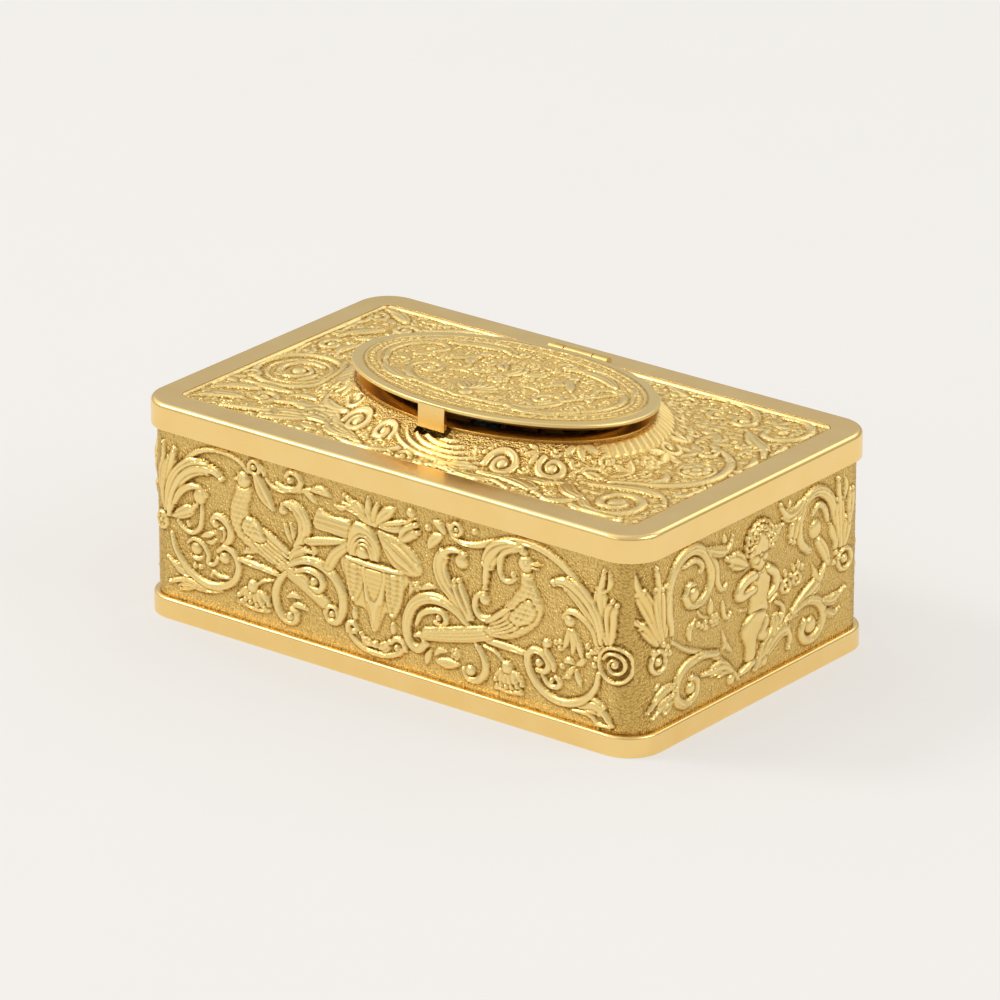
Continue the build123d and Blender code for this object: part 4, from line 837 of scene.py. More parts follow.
    # Rosette and leaves at the rear corner
    r.ring(57.3, 21.2, 1.8, 0.9, 0.5)
    r.ball(57.3, 21.2, 0.8, 0.5)
    r.balls("55,19.4 55.6,20.4 54.4,21", 0.6)
    r.frond("56,18.6 55.6,12.5 55.2,6.4", 2.1, 0.55, 3)
    r.frond("57,18.6 57.9,14.5 57,11.6", 1.5, 0.5, 2)
    r.frond("58.4,15 59,11 58.8,7.2", 1.3, 0.4, 2)
    r.petal("56.8,11 57.6,8.4 57,6.4", 1.1, 0.4)
    return r.finish(23)


def top_relief():
    """Scrolls, shell, rosettes and garlands on the panel round the oval. u is x and v is y."""
    r = Relief(-47.4, -28.0, 47.4, 28.0, DRAWING_STEP)
    # Front left: wreath and sprays
    r.ring(-38.7, -6, 7.4, 1.3, 0.6)
    r.ring(-38.7, -6, 5.4, 0.6, 0.35)
    r.curl(-38.7, -6, 4.2, 1.4, 60, 1, 1.3, 0.7, 2)
    r.flower(-40.6, -8.6, 1.1, 5, 0.5)
    r.petal("-36.4,-9.4 -35.4,-7.4 -35.2,-5", 1.4, 0.5)
    r.petal("-42,-4 -41,-2.4 -39.2,-1.6", 1.3, 0.5)
    r.frond("-9.3,-25.8 -14.7,-23.2 -20.7,-21 -26.7,-21.6 -32,-23.8 -38.7,-26.2", 2.2, 0.65, 3)
    r.frond("-17,-22.4 -22,-18.8 -28,-17.8 -33.6,-19.6", 2.6, 0.7, 3)
    r.frond("-24,-22.6 -30,-25 -34,-26.4", 1.8, 0.5, 2)
    r.curl(-35.8, -18.8, 2.6, 1.3, -60, 1, 1.2, 0.6, 2)
    r.frond("-38,-21.4 -42,-22 -45.2,-25.4", 2.2, 0.6, 3)
    r.frond("-38.4,-16.6 -42.6,-17.4 -45.4,-20.6", 2.0, 0.55, 3)
    r.frond("-33,-14.6 -38,-14.8 -43.6,-15", 1.6, 0.5, 3)
    r.curl(-44, -11.8, 1.6, 1.2, 180, -1, 0.9, 0.5, 1)
    r.flower(-29.4, -23.2, 0.9, 5, 0.45)
    r.balls("-41.6,-24.4 -43,-23.4 -27,-26 -18.4,-25.4 -20.4,-26 -44.6,-18.4", 0.6)
    # Front centre: C-scrolls, rosette and shell
    r.rib("-15.2,-25.4 -11,-26.4 -6.4,-25.8 -3.2,-23.8", 1.3, 0.6, 2)
    r.frond("4,-26.2 8,-25.2 12,-26.2 17,-25 21,-26.4", 1.8, 0.6, 3)
    r.frond("13,-23.6 18,-22.6 23,-23.4 28,-26", 2.4, 0.65, 3)
    r.flower(2.8, -25.7, 1.5, 6, 0.55)
    r.curl(-1.2, -25.4, 1.5, 1.2, 0, 1, 0.9, 0.5, 1)
    r.balls("9.4,-26.6 10.6,-24.2 25.2,-24.8 29.2,-24.6", 0.6)
    # Front right: big scroll and garland
    r.curl(38.6, -20.4, 5.4, 1.6, 210, 1, 2.0, 0.8, 3)
    r.frond("33.8,-22.6 30,-21.4 26.6,-18.8 25,-20.4", 2.2, 0.6, 3)
    r.frond("30.4,-17 34,-15.2 38.6,-13.6 43,-14.2 45.6,-17", 1.9, 0.6, 3)
    r.frond("33,-25.6 38,-26.8 43,-26 46,-22.6", 1.6, 0.55, 2)
    r.frond("28,-26.6 31,-25 33.4,-22.4", 1.6, 0.5, 3)
    r.balls("45.4,-19.4 45.6,-24.9 31.4,-19.2", 0.7)
    # Right end: flower inside a C-scroll
    r.rib("36.8,8.2 40.6,6.6 43.6,3.2 44.8,-1.4 43.8,-6 40.6,-9.8 36,-12.2 32.4,-14", 1.8, 0.75, 3)
    r.flower(40.3, -1.4, 2.7, 6, 0.75)
    r.ring(40.3, -1.4, 3.0, 0.6, 0.35)
    r.curl(37.2, 5.6, 1.8, 1.2, 90, -1, 1.0, 0.6, 2)
    r.frond("37.2,-5.4 38.6,-8 37.4,-10.6", 1.4, 0.5, 3)
    r.petal("45.8,4.2 45.6,7 44.2,9", 1.6, 0.5)
    r.petal("45.9,-9 45.4,-11.4 43.6,-12.6", 1.4, 0.5)
    r.balls("42.4,4.6 43.8,-9.4 45.9,0.4 45.8,-5.2", 0.55)
    # Rear right
    r.rib("20.7,25.4 24,26.6 29,26.6 33.4,24.4 35.6,20.6", 1.5, 0.65, 3)
    r.curl(33.2, 20.8, 2.2, 1.2, 20, -1, 1.2, 0.6, 2)
    r.rib("37.3,26 41.6,26.4 44.8,24 45.2,20.2 42.9,17.4 39.8,17.6 38.8,20.2", 1.6, 0.65, 3)
    r.ball(41.4, 20.8, 1.0, 0.6)
    r.frond("36.8,17.2 40.4,14.4 43.2,12.8 45.4,9.8", 2.2, 0.6, 3)
    r.frond("44.8,16.6 45.9,14 45.6,11.8", 1.2, 0.45)
    r.petal("38.8,10.4 40.6,11.6 41.2,13.6", 1.3, 0.45)
    r.frond("14,26.3 17,25 20.6,23.6", 1.4, 0.5)
    r.balls("36.6,23.2 37.6,12.6 30.2,23.2 24.6,24.4", 0.6)
    # Rear left: small leaf scrolls and beads
    r.rib("-20.4,26 -24.6,26.4 -29,25.2 -32.6,22.4 -35.2,20.8", 1.4, 0.6, 2)
    r.curl(-36.8, 19.6, 2.2, 1.3, 40, 1, 1.2, 0.6, 2)
    r.frond("-31.4,20.6 -28.4,22.4 -25.2,23.2", 1.6, 0.5)
    r.frond("-38.6,22.6 -42,24.8 -45.4,25.6", 2.0, 0.55, 3)
    r.frond("-39.4,17.6 -42.6,14.4 -44,10.6", 2.0, 0.6, 3)
    r.frond("-34,16.4 -37.2,13.4 -40.8,11.6", 1.7, 0.5, 3)
    r.rib("-44.8,20.4 -45.6,17.2 -45.2,13.8", 1.2, 0.5, 2)
    r.curl(-42.4, 7, 2.2, 1.3, 90, 1, 1.2, 0.6, 2)
    r.frond("-38,9.6 -39.6,6.4 -38.4,3.2", 1.6, 0.55, 3)
    r.petal("-45.6,6 -45.8,3 -44.6,0.6", 1.4, 0.45)
    r.frond("-14,26.2 -17,25.4 -20.4,24.2", 1.3, 0.45)
    r.balls("-34.8,25.2 -37.6,26.2 -41.4,20.2 -42.8,21.6 -41.2,3.6 -45.4,9.6 -28.6,26.8", 0.6)
    # Scrolls and shell on the front of the collar
    for radius in (1.4, 2.4, 3.4, 4.4, 5.4):
        arc = np.radians(np.linspace(192, 326, 9))
        swirl = np.stack([3.5 + radius * 1.9 * np.cos(arc), -18.6 + radius * np.sin(arc)], 1)
        r.stroke(swirl, 1.0, 0.5, 1, 0.5, 0.5)
    r.curl(15.2, -20.2, 2.9, 1.5, 200, -1, 1.5, 0.75, 2)
    r.frond("12,-22.8 8.6,-23.8 5,-24.6", 1.8, 0.55, 3)
    r.curl(22.8, -16.6, 2.6, 1.4, 160, 1, 1.4, 0.7, 2)
    r.frond("17.6,-22.6 21.4,-20.8 25.4,-20 28.6,-18", 1.7, 0.6, 3)
    r.curl(-8.4, -21.2, 2.2, 1.4, -20, 1, 1.3, 0.7, 2)
    r.curl(-15, -20, 2.8, 1.5, 180, -1, 1.4, 0.7, 2)
    r.frond("-11.6,-24 -15.4,-24.4 -19,-22.8 -20.4,-20", 1.7, 0.55, 3)
    r.frond("-18.6,-18 -22.4,-17.4 -25.6,-15.2 -26.4,-12.4", 1.9, 0.6, 3)
    r.curl(-24.6, -19.8, 2.0, 1.3, 60, 1, 1.1, 0.6, 2)
    r.frond("-27.8,-14.8 -30.6,-14.4 -33,-16.2", 1.4, 0.5, 3)
    r.frond("27.4,-14.2 29.6,-13.6 31.4,-14.8", 1.3, 0.5, 2)

    def bare(u, v):
        inner = (u / (BROW_A + 1.4)) ** 2 + (v / (BROW_B + 1.4)) ** 2 > 1
        reach_a = BROW_A + FLUTE_REACH * (COLLAR_A - BROW_A) + 0.9
        reach_b = BROW_B + FLUTE_REACH * (COLLAR_B - BROW_B) + 0.9
        outside = (u / reach_a) ** 2 + (v / reach_b) ** 2 > 1
        front = v < -9 and -31 < u < 31
        return inner and (outside or front) and abs(u) < PANEL_X - 0.8 and abs(v) < PANEL_Y - 0.8

    r.crowd(53, 2600, 2.2, bare, 0.4)
    return r.finish(37, 0.06)


def flutes(angle, share, count, twist):
    """Slanting lobes round the collar, each one round across and rising up the slope."""
    wave = np.abs(np.sin(0.5 * (count * angle + twist * share * 2 * np.pi)))
    ends = np.clip(np.minimum(share, 1 - share) / 0.12, 0, 1)
    return wave**0.7 * ends


def lid_relief():
    """A cartouche of scrolls round a vase, flowers and two small birds. u is x and v is y."""
    r = Relief(-LID_A, -LID_B, LID_A, LID_B, LID_DRAWING_STEP)
    for k in range(LID_BEADS):
        a = 2 * math.pi * k / LID_BEADS
        r.ball(25.1 * math.cos(a), 15.3 * math.sin(a), 0.42, 0.3)
    turns = np.radians(np.arange(0, 361, 4))
    r.stroke(np.stack([24 * np.cos(turns), 14.2 * np.sin(turns)], 1), 0.5, 0.25, 1, 1, 1)
    r.stroke(np.stack([26.1 * np.cos(turns), 16.3 * np.sin(turns)], 1), 0.45, 0.2, 1, 1, 1)
    for side in (-1, 1):
        flip = np.array([side, 1])
        r.rib(path("2,-12.6 6,-12 10,-10.8 13.6,-8.4 15,-5.2 13.6,-2.6 11,-2.6") * flip, 1.4, 0.55, 3)
        r.curl(side * 11.8, -4.8, 2.0, 1.3, 90, side, 1.0, 0.5, 2)
        r.frond(path("9,-11.6 13,-11.6 17,-9.6 20,-6.4") * flip, 1.8, 0.5, 3)
        arm = path("20.4,-5.6 22.2,-2.4 22.4,1.6 20.8,4.8 17.8,6.2 15.6,4.6 16.4,2.2")
        r.rib(arm * flip, 1.4, 0.55, 3)
        r.ball(side * 18, 3.2, 0.9, 0.5)
        r.frond(path("17.4,7.4 13.4,9.8 9,10.6 5.4,9.4") * flip, 1.9, 0.55, 3)
        r.curl(side * 4.6, 11, 1.6, 1.2, 180, -side, 0.9, 0.45, 2)
        r.frond(path("18.2,-1 16.2,0.8 14.6,-0.6") * flip, 1.2, 0.4, 2)
        r.petal(path("19.6,-4 17.8,-3.4 16.8,-5.2") * flip, 1.2, 0.4)
        r.petal(path("21.8,6.4 20.4,8.4 18,9") * flip, 1.3, 0.4)
        r.petal(path("12,12.2 9.6,12.8 7.4,12.2") * flip, 1.1, 0.35)
        for u, v in path("18.4,-7.9 10.4,8.2 20,-0.6 14.8,6.9"):
            r.ball(side * u, v, 0.45, 0.35)
    # Vase and shell fan
    for a in np.radians(np.linspace(35, 145, 8)):
        leaf = [[reach * math.cos(a), -10 + reach * math.sin(a)] for reach in (0.5, 3.2, 5.2)]
        r.petal(np.array(leaf), 1.5, 0.55)
    r.ball(0, -10.4, 1.3, 0.6)
    r.rib("-3,-11.8 0,-12.8 3,-11.8", 1.1, 0.5, 2)
    # Bouquet and birds
    r.flower(0, -1.8, 2.0, 6, 0.6)
    r.flower(-3.8, 0.8, 1.4, 5, 0.5)
    r.flower(3.6, 1.2, 1.4, 5, 0.5)
    r.frond("0,0.4 0.6,3.4 -0.4,6.6", 1.5, 0.5, 2)
    r.frond("-2,2.4 -4.2,5 -3.4,7.4", 1.4, 0.45, 2)
    r.frond("2,2.6 4.2,4.6 3.8,7.2", 1.4, 0.45, 2)
    r.flower(0, 7.8, 1.2, 5, 0.45)
    r.petal("-5,-2.4 -7.4,-2 -9,-3.4", 1.3, 0.4)
    r.petal("5,-2.2 7,-1.4 9,-2.4", 1.3, 0.4)
    for side in (-1, 1):
        flip = np.array([side, 1])
        r.stroke(path("8.6,1.6 9.8,3.8 9.6,6") * flip, 2.3, 0.65, 1, 0.5, 0.6, 0.5)
        r.ball(side * 9.2, 6.8, 1.05, 0.65)
        r.petal(path("8.4,7 7.4,6.8") * flip, 0.6, 0.5)
        r.stroke(path("9.4,4.8 11,3.2 12.8,1") * flip, 1.8, 0.7, 4, 0.9, 0.3, 0.3)
        r.petal(path("8.8,2.2 7.9,0.2 8.2,-1") * flip, 1.2, 0.45)
    # A staff laid across the right
    r.rib("13,-7.6 16,-1.6 19.4,5.2", 0.7, 0.5)
    r.ball(19.6, 5.8, 0.7, 0.5)
    r.crowd(43, 190, 1.4, lambda u, v: (u / 23.2) ** 2 + (v / 13.4) ** 2 < 1, 0.36)
    return r.finish(41, 0.04)


# Materials


def maths(tree, operation, a, b):
    node = tree.nodes.new("ShaderNodeMath")
    node.operation = operation
    for socket, value in zip(node.inputs, (a, b)):
        if isinstance(value, (int, float)):
            socket.default_value = value
        else:
            tree.links.new(value, socket)
    return node.outputs[0]


def node_tree(name):
    """A new material with its tree and its shader."""
    material = bpy.data.materials.new(name)
    material.use_nodes = True
    tree = material.node_tree
    return material, tree, tree.nodes["Principled BSDF"]


def ramp(tree, source, stops, where=None):
    """Turns a value into the colours or numbers of the stops."""
    node = tree.nodes.new("ShaderNodeValToRGB")
    elements = node.color_ramp.elements
    while len(elements) < len(stops):
        elements.new(0.5)
    for element, (at, value) in zip(elements, stops):
        element.position = at
        element.color = (value, value, value, 1) if isinstance(value, float) else (*value, 1)
    tree.links.new(source, node.inputs["Fac"])
    if where is not None:
        tree.links.new(node.outputs["Color"], where)
    return node


def noise(tree, scale, detail=3.0, rough=0.6):
    node = tree.nodes.new("ShaderNodeTexNoise")
    node.inputs["Scale"].default_value = scale
    node.inputs["Detail"].default_value = detail
    node.inputs["Roughness"].default_value = rough
    tree.links.new(tree.nodes.new("ShaderNodeTexCoord").outputs["Object"], node.inputs["Vector"])
    return node


def cells(tree, scale):
    node = tree.nodes.new("ShaderNodeTexVoronoi")
    node.inputs["Scale"].default_value = scale
    tree.links.new(tree.nodes.new("ShaderNodeTexCoord").outputs["Object"], node.inputs["Vector"])
    return node.outputs["Distance"]


def field(tree, name):
    """A value that the mesh holds at each point."""
    node = tree.nodes.new("ShaderNodeAttribute")
    node.attribute_name = name
    return node.outputs["Fac"]


def bump(tree, shader, source, strength, distance):
    node = tree.nodes.new("ShaderNodeBump")
    node.inputs["Strength"].default_value = strength
    node.inputs["Distance"].default_value = distance
    tree.links.new(source, node.inputs["Height"])
    tree.links.new(node.outputs["Normal"], shader.inputs["Normal"])
    return node


def embossed_gilt():
    """Gilding painted bright on the high places as a highlight and dark in the hollows as shade."""
    material, tree, shader = node_tree("embossed_gilt")
    shader.inputs["Metallic"].default_value = 1.0
    raised = field(tree, "raised")
    stipple = cells(tree, STIPPLE_SCALE)
    mottle = noise(tree, MOTTLE_SCALE)
    matted = maths(tree, "MULTIPLY_ADD", raised, -0.9)
    matted.node.inputs[2].default_value = 1.0
    # The tone rises from the cavity shading, painted shade in the hollows and painted highlight on the
    # high places, with a random mottle added
    level = maths(tree, "MULTIPLY_ADD", mottle.outputs["Fac"], MOTTLE_TONE)
    tree.links.new(field(tree, "cavity_shading"), level.node.inputs[2])
    speck = maths(tree, "MULTIPLY", stipple, matted)
    punched = maths(tree, "MULTIPLY_ADD", speck, STIPPLE_TONE)
    tree.links.new(level, punched.node.inputs[2])
    ramp(tree, punched, EMBOSSED_TONES, shader.inputs["Base Color"])
    ramp(tree, raised, EMBOSSED_ROUGHNESS, shader.inputs["Roughness"])
    dimples = bump(tree, shader, stipple, 0.7, STIPPLE_DEPTH)
    tree.links.new(matted, dimples.inputs["Strength"])
    return material


def polished_gilt():
    """Smooth gilding, a little uneven from wear."""
    material, tree, shader = node_tree("polished_gilt")
    shader.inputs["Metallic"].default_value = 1.0
    wear = noise(tree, 120.0, 4.0, 0.6)
    ramp(tree, wear.outputs["Fac"], [(0.2, POLISH_LOW), (0.8, POLISH_HIGH)], shader.inputs["Base Color"])
    ramp(tree, wear.outputs["Fac"], POLISHED_ROUGHNESS, shader.inputs["Roughness"])
    return material


def plain(name, low, high, rough, metallic, scale=400.0, relief=0.15):
    """One stuff with a fine grain between two colours."""
    material, tree, shader = node_tree(name)
    shader.inputs["Metallic"].default_value = metallic
    grain = noise(tree, scale, 5.0, 0.65)
    ramp(tree, grain.outputs["Fac"], [(0.3, low), (0.7, high)], shader.inputs["Base Color"])
    spread = [(0.3, rough * 0.85), (0.7, rough * 1.15)]
    ramp(tree, grain.outputs["Fac"], spread, shader.inputs["Roughness"])
    bump(tree, shader, grain.outputs["Fac"], relief, 0.0002)
    return material


def feathers(name, edge, middle, tip):
    """Small overlapping feathers with a paler middle and a dark edge."""
    material, tree, shader = node_tree(name)
    barbs = noise(tree, BARB_SCALE, 2.0)
    level = maths(tree, "MULTIPLY_ADD", barbs.outputs["Fac"], 0.25)
    tree.links.new(cells(tree, FEATHER_SCALE), level.node.inputs[2])
    ramp(tree, level, [(0.12, tip), (0.45, middle), (0.8, edge)], shader.inputs["Base Color"])
    shader.inputs["Roughness"].default_value = 0.42
    shader.inputs["Sheen Weight"].default_value = 0.4
    bump(tree, shader, level, 0.6, -0.0003)
    return material


# Geometry


def make_mesh(name, points, faces, cavity_shading, raised, material):
    mesh = bpy.data.meshes.new(name)
    mesh.from_pydata((np.asarray(points) * MM).tolist(), [], faces)
    mesh.update()
    # The cavity shading holds the painted shade and highlight for the gilt; raised marks the raised
    # pieces
    for key, values in (("cavity_shading", cavity_shading), ("raised", raised)):
        shade = mesh.attributes.new(key, "FLOAT", "POINT")
        shade.data.foreach_set("value", np.asarray(values, np.float32))
    mesh.polygons.foreach_set("use_smooth", [True] * len(mesh.polygons))
    mesh.set_sharp_from_angle(angle=math.radians(50))
    mesh.materials.append(material)
    obj = bpy.data.objects.new(name, mesh)
    bpy.context.scene.collection.objects.link(obj)
    return obj


def quads(a, b):
    """Faces between two loops of vertex numbers."""
    return np.stack([a[:-1], a[1:], b[1:], b[:-1]], axis=1)


def grid_faces(rows, cols, closed=False):
    index = np.arange(rows * cols).reshape(rows, cols)
    if closed:
        index = np.hstack([index, index[:, :1]])
    return np.concatenate([quads(index[k], index[k + 1]) for k in range(rows - 1)])


def sample(relief, values, u, v):
    """A map of the drawing read at each place, by bilinear interpolation."""
    x = np.clip((u - relief.low[0]) / relief.step, 0, len(relief.us) - 1.001)
    y = np.clip((v - relief.low[1]) / relief.step, 0, len(relief.vs) - 1.001)
    i, j = x.astype(int), y.astype(int)
    s, t = x - i, y - j
    return (
        values[j, i] * (1 - s) * (1 - t)
        + values[j, i + 1] * s * (1 - t)
        + values[j + 1, i] * (1 - s) * t
        + values[j + 1, i + 1] * s * t
    )


def soft_height(z, top):
    """Heights in the drawing, eased so that the tallest pieces stay under the given top."""
    return np.where(z > 0, top * np.tanh(RELIEF_GAIN * z / top), z)


def side_frame(side, s):
    """A place on the wall's outer face and its outward direction, s along from the side's middle."""
    half = CASE_LENGTH / 2 if side in ("front", "back") else CASE_WIDTH / 2
    depth = CASE_WIDTH / 2 if side in ("front", "back") else CASE_LENGTH / 2
    half, depth, radius = half - WALL_INSET, depth - WALL_INSET, CORNER_RADIUS - WALL_INSET
    straight = half - radius
    over = np.clip(np.abs(s) - straight, 0, None)
    angle = over / radius
    x = np.sign(s) * (np.minimum(np.abs(s), straight) + radius * np.sin(angle))
    y = -(depth - radius + radius * np.cos(angle))
    nx, ny = np.sign(s) * np.sin(angle), -np.cos(angle)
    turn = {"front": 0, "right": 90, "back": 180, "left": 270}[side]
    c, d = math.cos(math.radians(turn)), math.sin(math.radians(turn))
    return x * c - y * d, x * d + y * c, nx * c - ny * d, nx * d + ny * c


def wall_sheet(side, relief, centre, material, mirror=False):
    """One embossed side of the case, from the middle of one rounded corner to the middle of the next."""
    long_side = side in ("front", "back")
    half = (CASE_LENGTH if long_side else CASE_WIDTH) / 2 - WALL_INSET
    radius = CORNER_RADIUS - WALL_INSET
    reach = half - radius + radius * math.pi / 4
    cols = int(round(2 * reach / WALL_SHEET_STEP)) + 1
    rows = int(round((WALL_HIGH - WALL_LOW) / WALL_SHEET_STEP)) + 1
    s = np.linspace(-reach, reach, cols)
    z = np.linspace(WALL_LOW, WALL_HIGH, rows)
    ss, zz = np.meshgrid(s, z)
    u = centre + (-ss if mirror else ss)
    v = BAND_TOP - zz
    ends = np.clip((reach - np.abs(ss)) / WALL_SHEET_ENDS, 0, 1)
    rise = soft_height(sample(relief, relief.z, u, v), WALL_RELIEF) * ends
    px, py, nx, ny = side_frame(side, ss)
    outer = np.stack([px + nx * rise, py + ny * rise, zz], axis=2).reshape(-1, 3)
    # Painted shade: the cavity shading is darkened within half a millimetre of the wall's top and foot,
    # under the band and above the base, and on the rounded corners
    line = np.clip(np.minimum(zz - WALL_LOW, WALL_HIGH - zz) / 0.5, 0, 1)
    corner = np.clip((np.abs(ss) - half + radius) / 2.0, 0, 1)
    cavity_shading = (sample(relief, relief.cavity_shading, u, v) * (0.55 + 0.45 * line) - 0.1 * corner).reshape(-1)
    raised = sample(relief, relief.raised, u, v).reshape(-1)
    px, py, nx, ny = side_frame(side, s)
    low = np.stack([px - nx * WALL_THICKNESS, py - ny * WALL_THICKNESS, np.full(cols, WALL_LOW)], axis=1)
    high = low.copy()
    high[:, 2] = WALL_HIGH
    points = np.vstack([outer, low, high])
    base = rows * cols
    bottom = np.arange(cols)
    top = bottom + (rows - 1) * cols
    inner_low = base + np.arange(cols)
    inner_high = inner_low + cols
    faces = grid_faces(rows, cols).tolist()
    faces += quads(inner_low, bottom).tolist()
    faces += quads(top, inner_high).tolist()
    faces += quads(inner_high, inner_low).tolist()
    left = [k * cols for k in range(rows)]
    right = [k * cols + cols - 1 for k in range(rows)]
    faces.append(left + [int(inner_high[0]), int(inner_low[0])])
    faces.append(right[::-1] + [int(inner_low[-1]), int(inner_high[-1])])
    shade = np.concatenate([cavity_shading, np.full(2 * cols, 0.5)])
    raised = np.concatenate([raised, np.ones(2 * cols)])
    return make_mesh("wall_" + side, points, faces, shade, raised, material)


def cut(obj, cutter):
    """Takes a box away from a closed piece."""
    modifier = obj.modifiers.new("cut", "BOOLEAN")
    modifier.operation = "DIFFERENCE"
    modifier.solver = "MANIFOLD"
    modifier.object = cutter
    graph = bpy.context.evaluated_depsgraph_get()
    mesh = bpy.data.meshes.new_from_object(obj.evaluated_get(graph))
    obj.modifiers.remove(modifier)
    old = obj.data
    obj.data = mesh
    bpy.data.meshes.remove(old)
    bpy.data.objects.remove(cutter)


def box_piece(low, high):
    corners = list(itertools.product(*zip(low, high)))
    faces = [(0, 1, 3, 2), (4, 6, 7, 5), (0, 4, 5, 1), (2, 3, 7, 6), (0, 2, 6, 4), (1, 5, 7, 3)]
    mesh = bpy.data.meshes.new("cutter")
    mesh.from_pydata((np.array(corners) * MM).tolist(), [], faces)
    obj = bpy.data.objects.new("cutter", mesh)
    bpy.context.scene.collection.objects.link(obj)
    return obj


def rounded_outline(half_x, half_y, radius, count):
    """Places evenly spaced round a rectangle with rounded corners, from the right and turning left."""
    dense = []
    for cx, cy, first in ((1, -1, -90), (1, 1, 0), (-1, 1, 90), (-1, -1, 180)):
        x, y = cx * (half_x - radius), cy * (half_y - radius)
        for a in np.radians(np.linspace(first, first + 90, 24)):
            dense.append((x + radius * math.cos(a), y + radius * math.sin(a)))
    dense = np.array(dense + dense[:1])
    run = np.concatenate([[0], np.cumsum(np.hypot(*np.diff(dense, axis=0).T))])
    at = np.linspace(0, run[-1], count, endpoint=False)
    return np.stack([np.interp(at, run, dense[:, k]) for k in (0, 1)], axis=1)


def ellipse_level(x, y):
    """How far a place is from the oval's brow to the foot of its collar, from 0 to 1, and its angle."""
    angle = np.arctan2(y / COLLAR_B, x / COLLAR_A)
    foot = np.hypot(COLLAR_A * np.cos(angle), COLLAR_B * np.sin(angle))
    brow = np.hypot(BROW_A * np.cos(angle), BROW_B * np.sin(angle))
    return (np.hypot(x, y) - brow) / (foot - brow), angle


def top_panel(relief, material):
    """The embossed panel, in rings from the well's edge over the fluted collar to the frame."""
    count = 1040
    edge = rounded_outline(PANEL_X, PANEL_Y, PANEL_CORNER, count)
    phi = np.arctan2(edge[:, 1] / PANEL_Y, edge[:, 0] / PANEL_X)
    circle = np.stack([np.cos(phi), np.sin(phi)], axis=1)
    hole = circle * [WELL_A, WELL_B]
    brow = circle * [BROW_A, BROW_B]
    foot = circle * [COLLAR_A, COLLAR_B]
    rows = [hole + (brow - hole) * t for t in np.linspace(0, 1, 4, endpoint=False)]
    rows += [brow + (foot - brow) * t for t in np.linspace(0, 1, 34, endpoint=False)]
    rows += [foot + (edge - foot) * t for t in np.linspace(0, 1, 54)]
    flat = np.array(rows)
    x, y = flat[:, :, 0], flat[:, :, 1]
    level, angle = ellipse_level(x, y)
    share = np.clip(1 - level, 0, 1)
    slope = COLLAR_HEIGHT * (0.35 * share + 0.65 * share**1.5)
    on_collar = (level > 0) & (level < FLUTE_REACH)
    rib = np.where(on_collar, flutes(angle, level / FLUTE_REACH, FLUTE_COUNT, FLUTE_TWIST), 0)
    turn = np.degrees(angle)
    fluted = np.clip(np.maximum(turn + 28, -152 - turn) / 6, 0, 1)
    fluted = np.where(turn > 90, 1.0, fluted) * np.where(level < FLUTE_REACH, 1, 0)
    drawn = soft_height(sample(relief, relief.z, x, y), PANEL_RELIEF) * PANEL_SHARE
    pictured = np.where(level > 1, 1.0, (1 - fluted) * np.clip(level / 0.06, 0, 1))
    inset = np.minimum(PANEL_X - np.abs(x), PANEL_Y - np.abs(y))
    border = np.clip((inset - PANEL_LINE) / 0.35, 0, 1)
    line = PANEL_LINE_RISE * np.sin(np.pi * np.clip(0.35 + 0.65 * inset / PANEL_LINE, 0, 1))
    lobes = FLUTE_HEIGHT * rib * fluted * np.clip(level / 0.1, 0, 1)
    z = PANEL_TOP + slope + lobes + drawn * pictured * border + line
    shaded = sample(relief, relief.cavity_shading, x, y)
    # Painted shade on the ground just inside the raised border line; the line itself takes a fixed tone
    # a little above the middle
    shaded = np.where(inset < PANEL_LINE, 0.55, shaded * (0.45 + 0.55 * border))
    # On the fluted part of the collar, painted shade in the grooves between the flutes, lighter up onto
    # their lobes as a painted highlight
    cavity_shading = shaded * (1 - fluted) + (0.32 + 0.26 * rib) * fluted
    # Painted shade on the ring from the well's edge to the collar's brow
    cavity_shading = np.where(level < 0.02, 0.3, cavity_shading)
    raised = np.maximum(sample(relief, relief.raised, x, y), fluted)
    raised = np.where(level < 0.02, 0.0, np.where(inset < PANEL_LINE, 1.0, raised))
    upper = np.stack([x, y, z], axis=2)
    n = len(rows)
    lower = np.stack([flat[0], flat[-1]])
    lower = np.concatenate([lower, np.full((2, count, 1), PANEL_LOW)], axis=2)
    points = np.concatenate([upper.reshape(-1, 3), lower.reshape(-1, 3)])
    index = np.arange((n + 2) * count).reshape(n + 2, count)
    index = np.hstack([index, index[:, :1]])
    faces = [quads(index[k + 1], index[k]) for k in range(n - 1)]
    faces += [quads(index[a], index[b]) for a, b in ((n + 1, n - 1), (0, n), (n, n + 1))]
    faces = np.concatenate(faces).tolist()
    # Painted shade on the well's inner wall, the panel's outer edge and its underside
    shade = np.concatenate([cavity_shading.reshape(-1), np.full(2 * count, 0.4)])
    raised = np.concatenate([raised.reshape(-1), np.ones(2 * count)])
    panel = make_mesh("embossed_panel", points, faces, shade, raised, material)
    cut(panel, box_piece(*TONGUE_NOTCH))
    cut(panel, box_piece(*HINGE_NOTCH))
    return panel


def tilted(points):
    """The lid's rest place, held a little open about its hinge."""
    a = math.radians(-LID_AJAR)
    y, z = points[:, 1] - HINGE_Y, points[:, 2] - HINGE_Z
    turned = points.copy()
    turned[:, 1] = HINGE_Y + y * math.cos(a) - z * math.sin(a)
    turned[:, 2] = HINGE_Z + y * math.sin(a) + z * math.cos(a)
    return turned


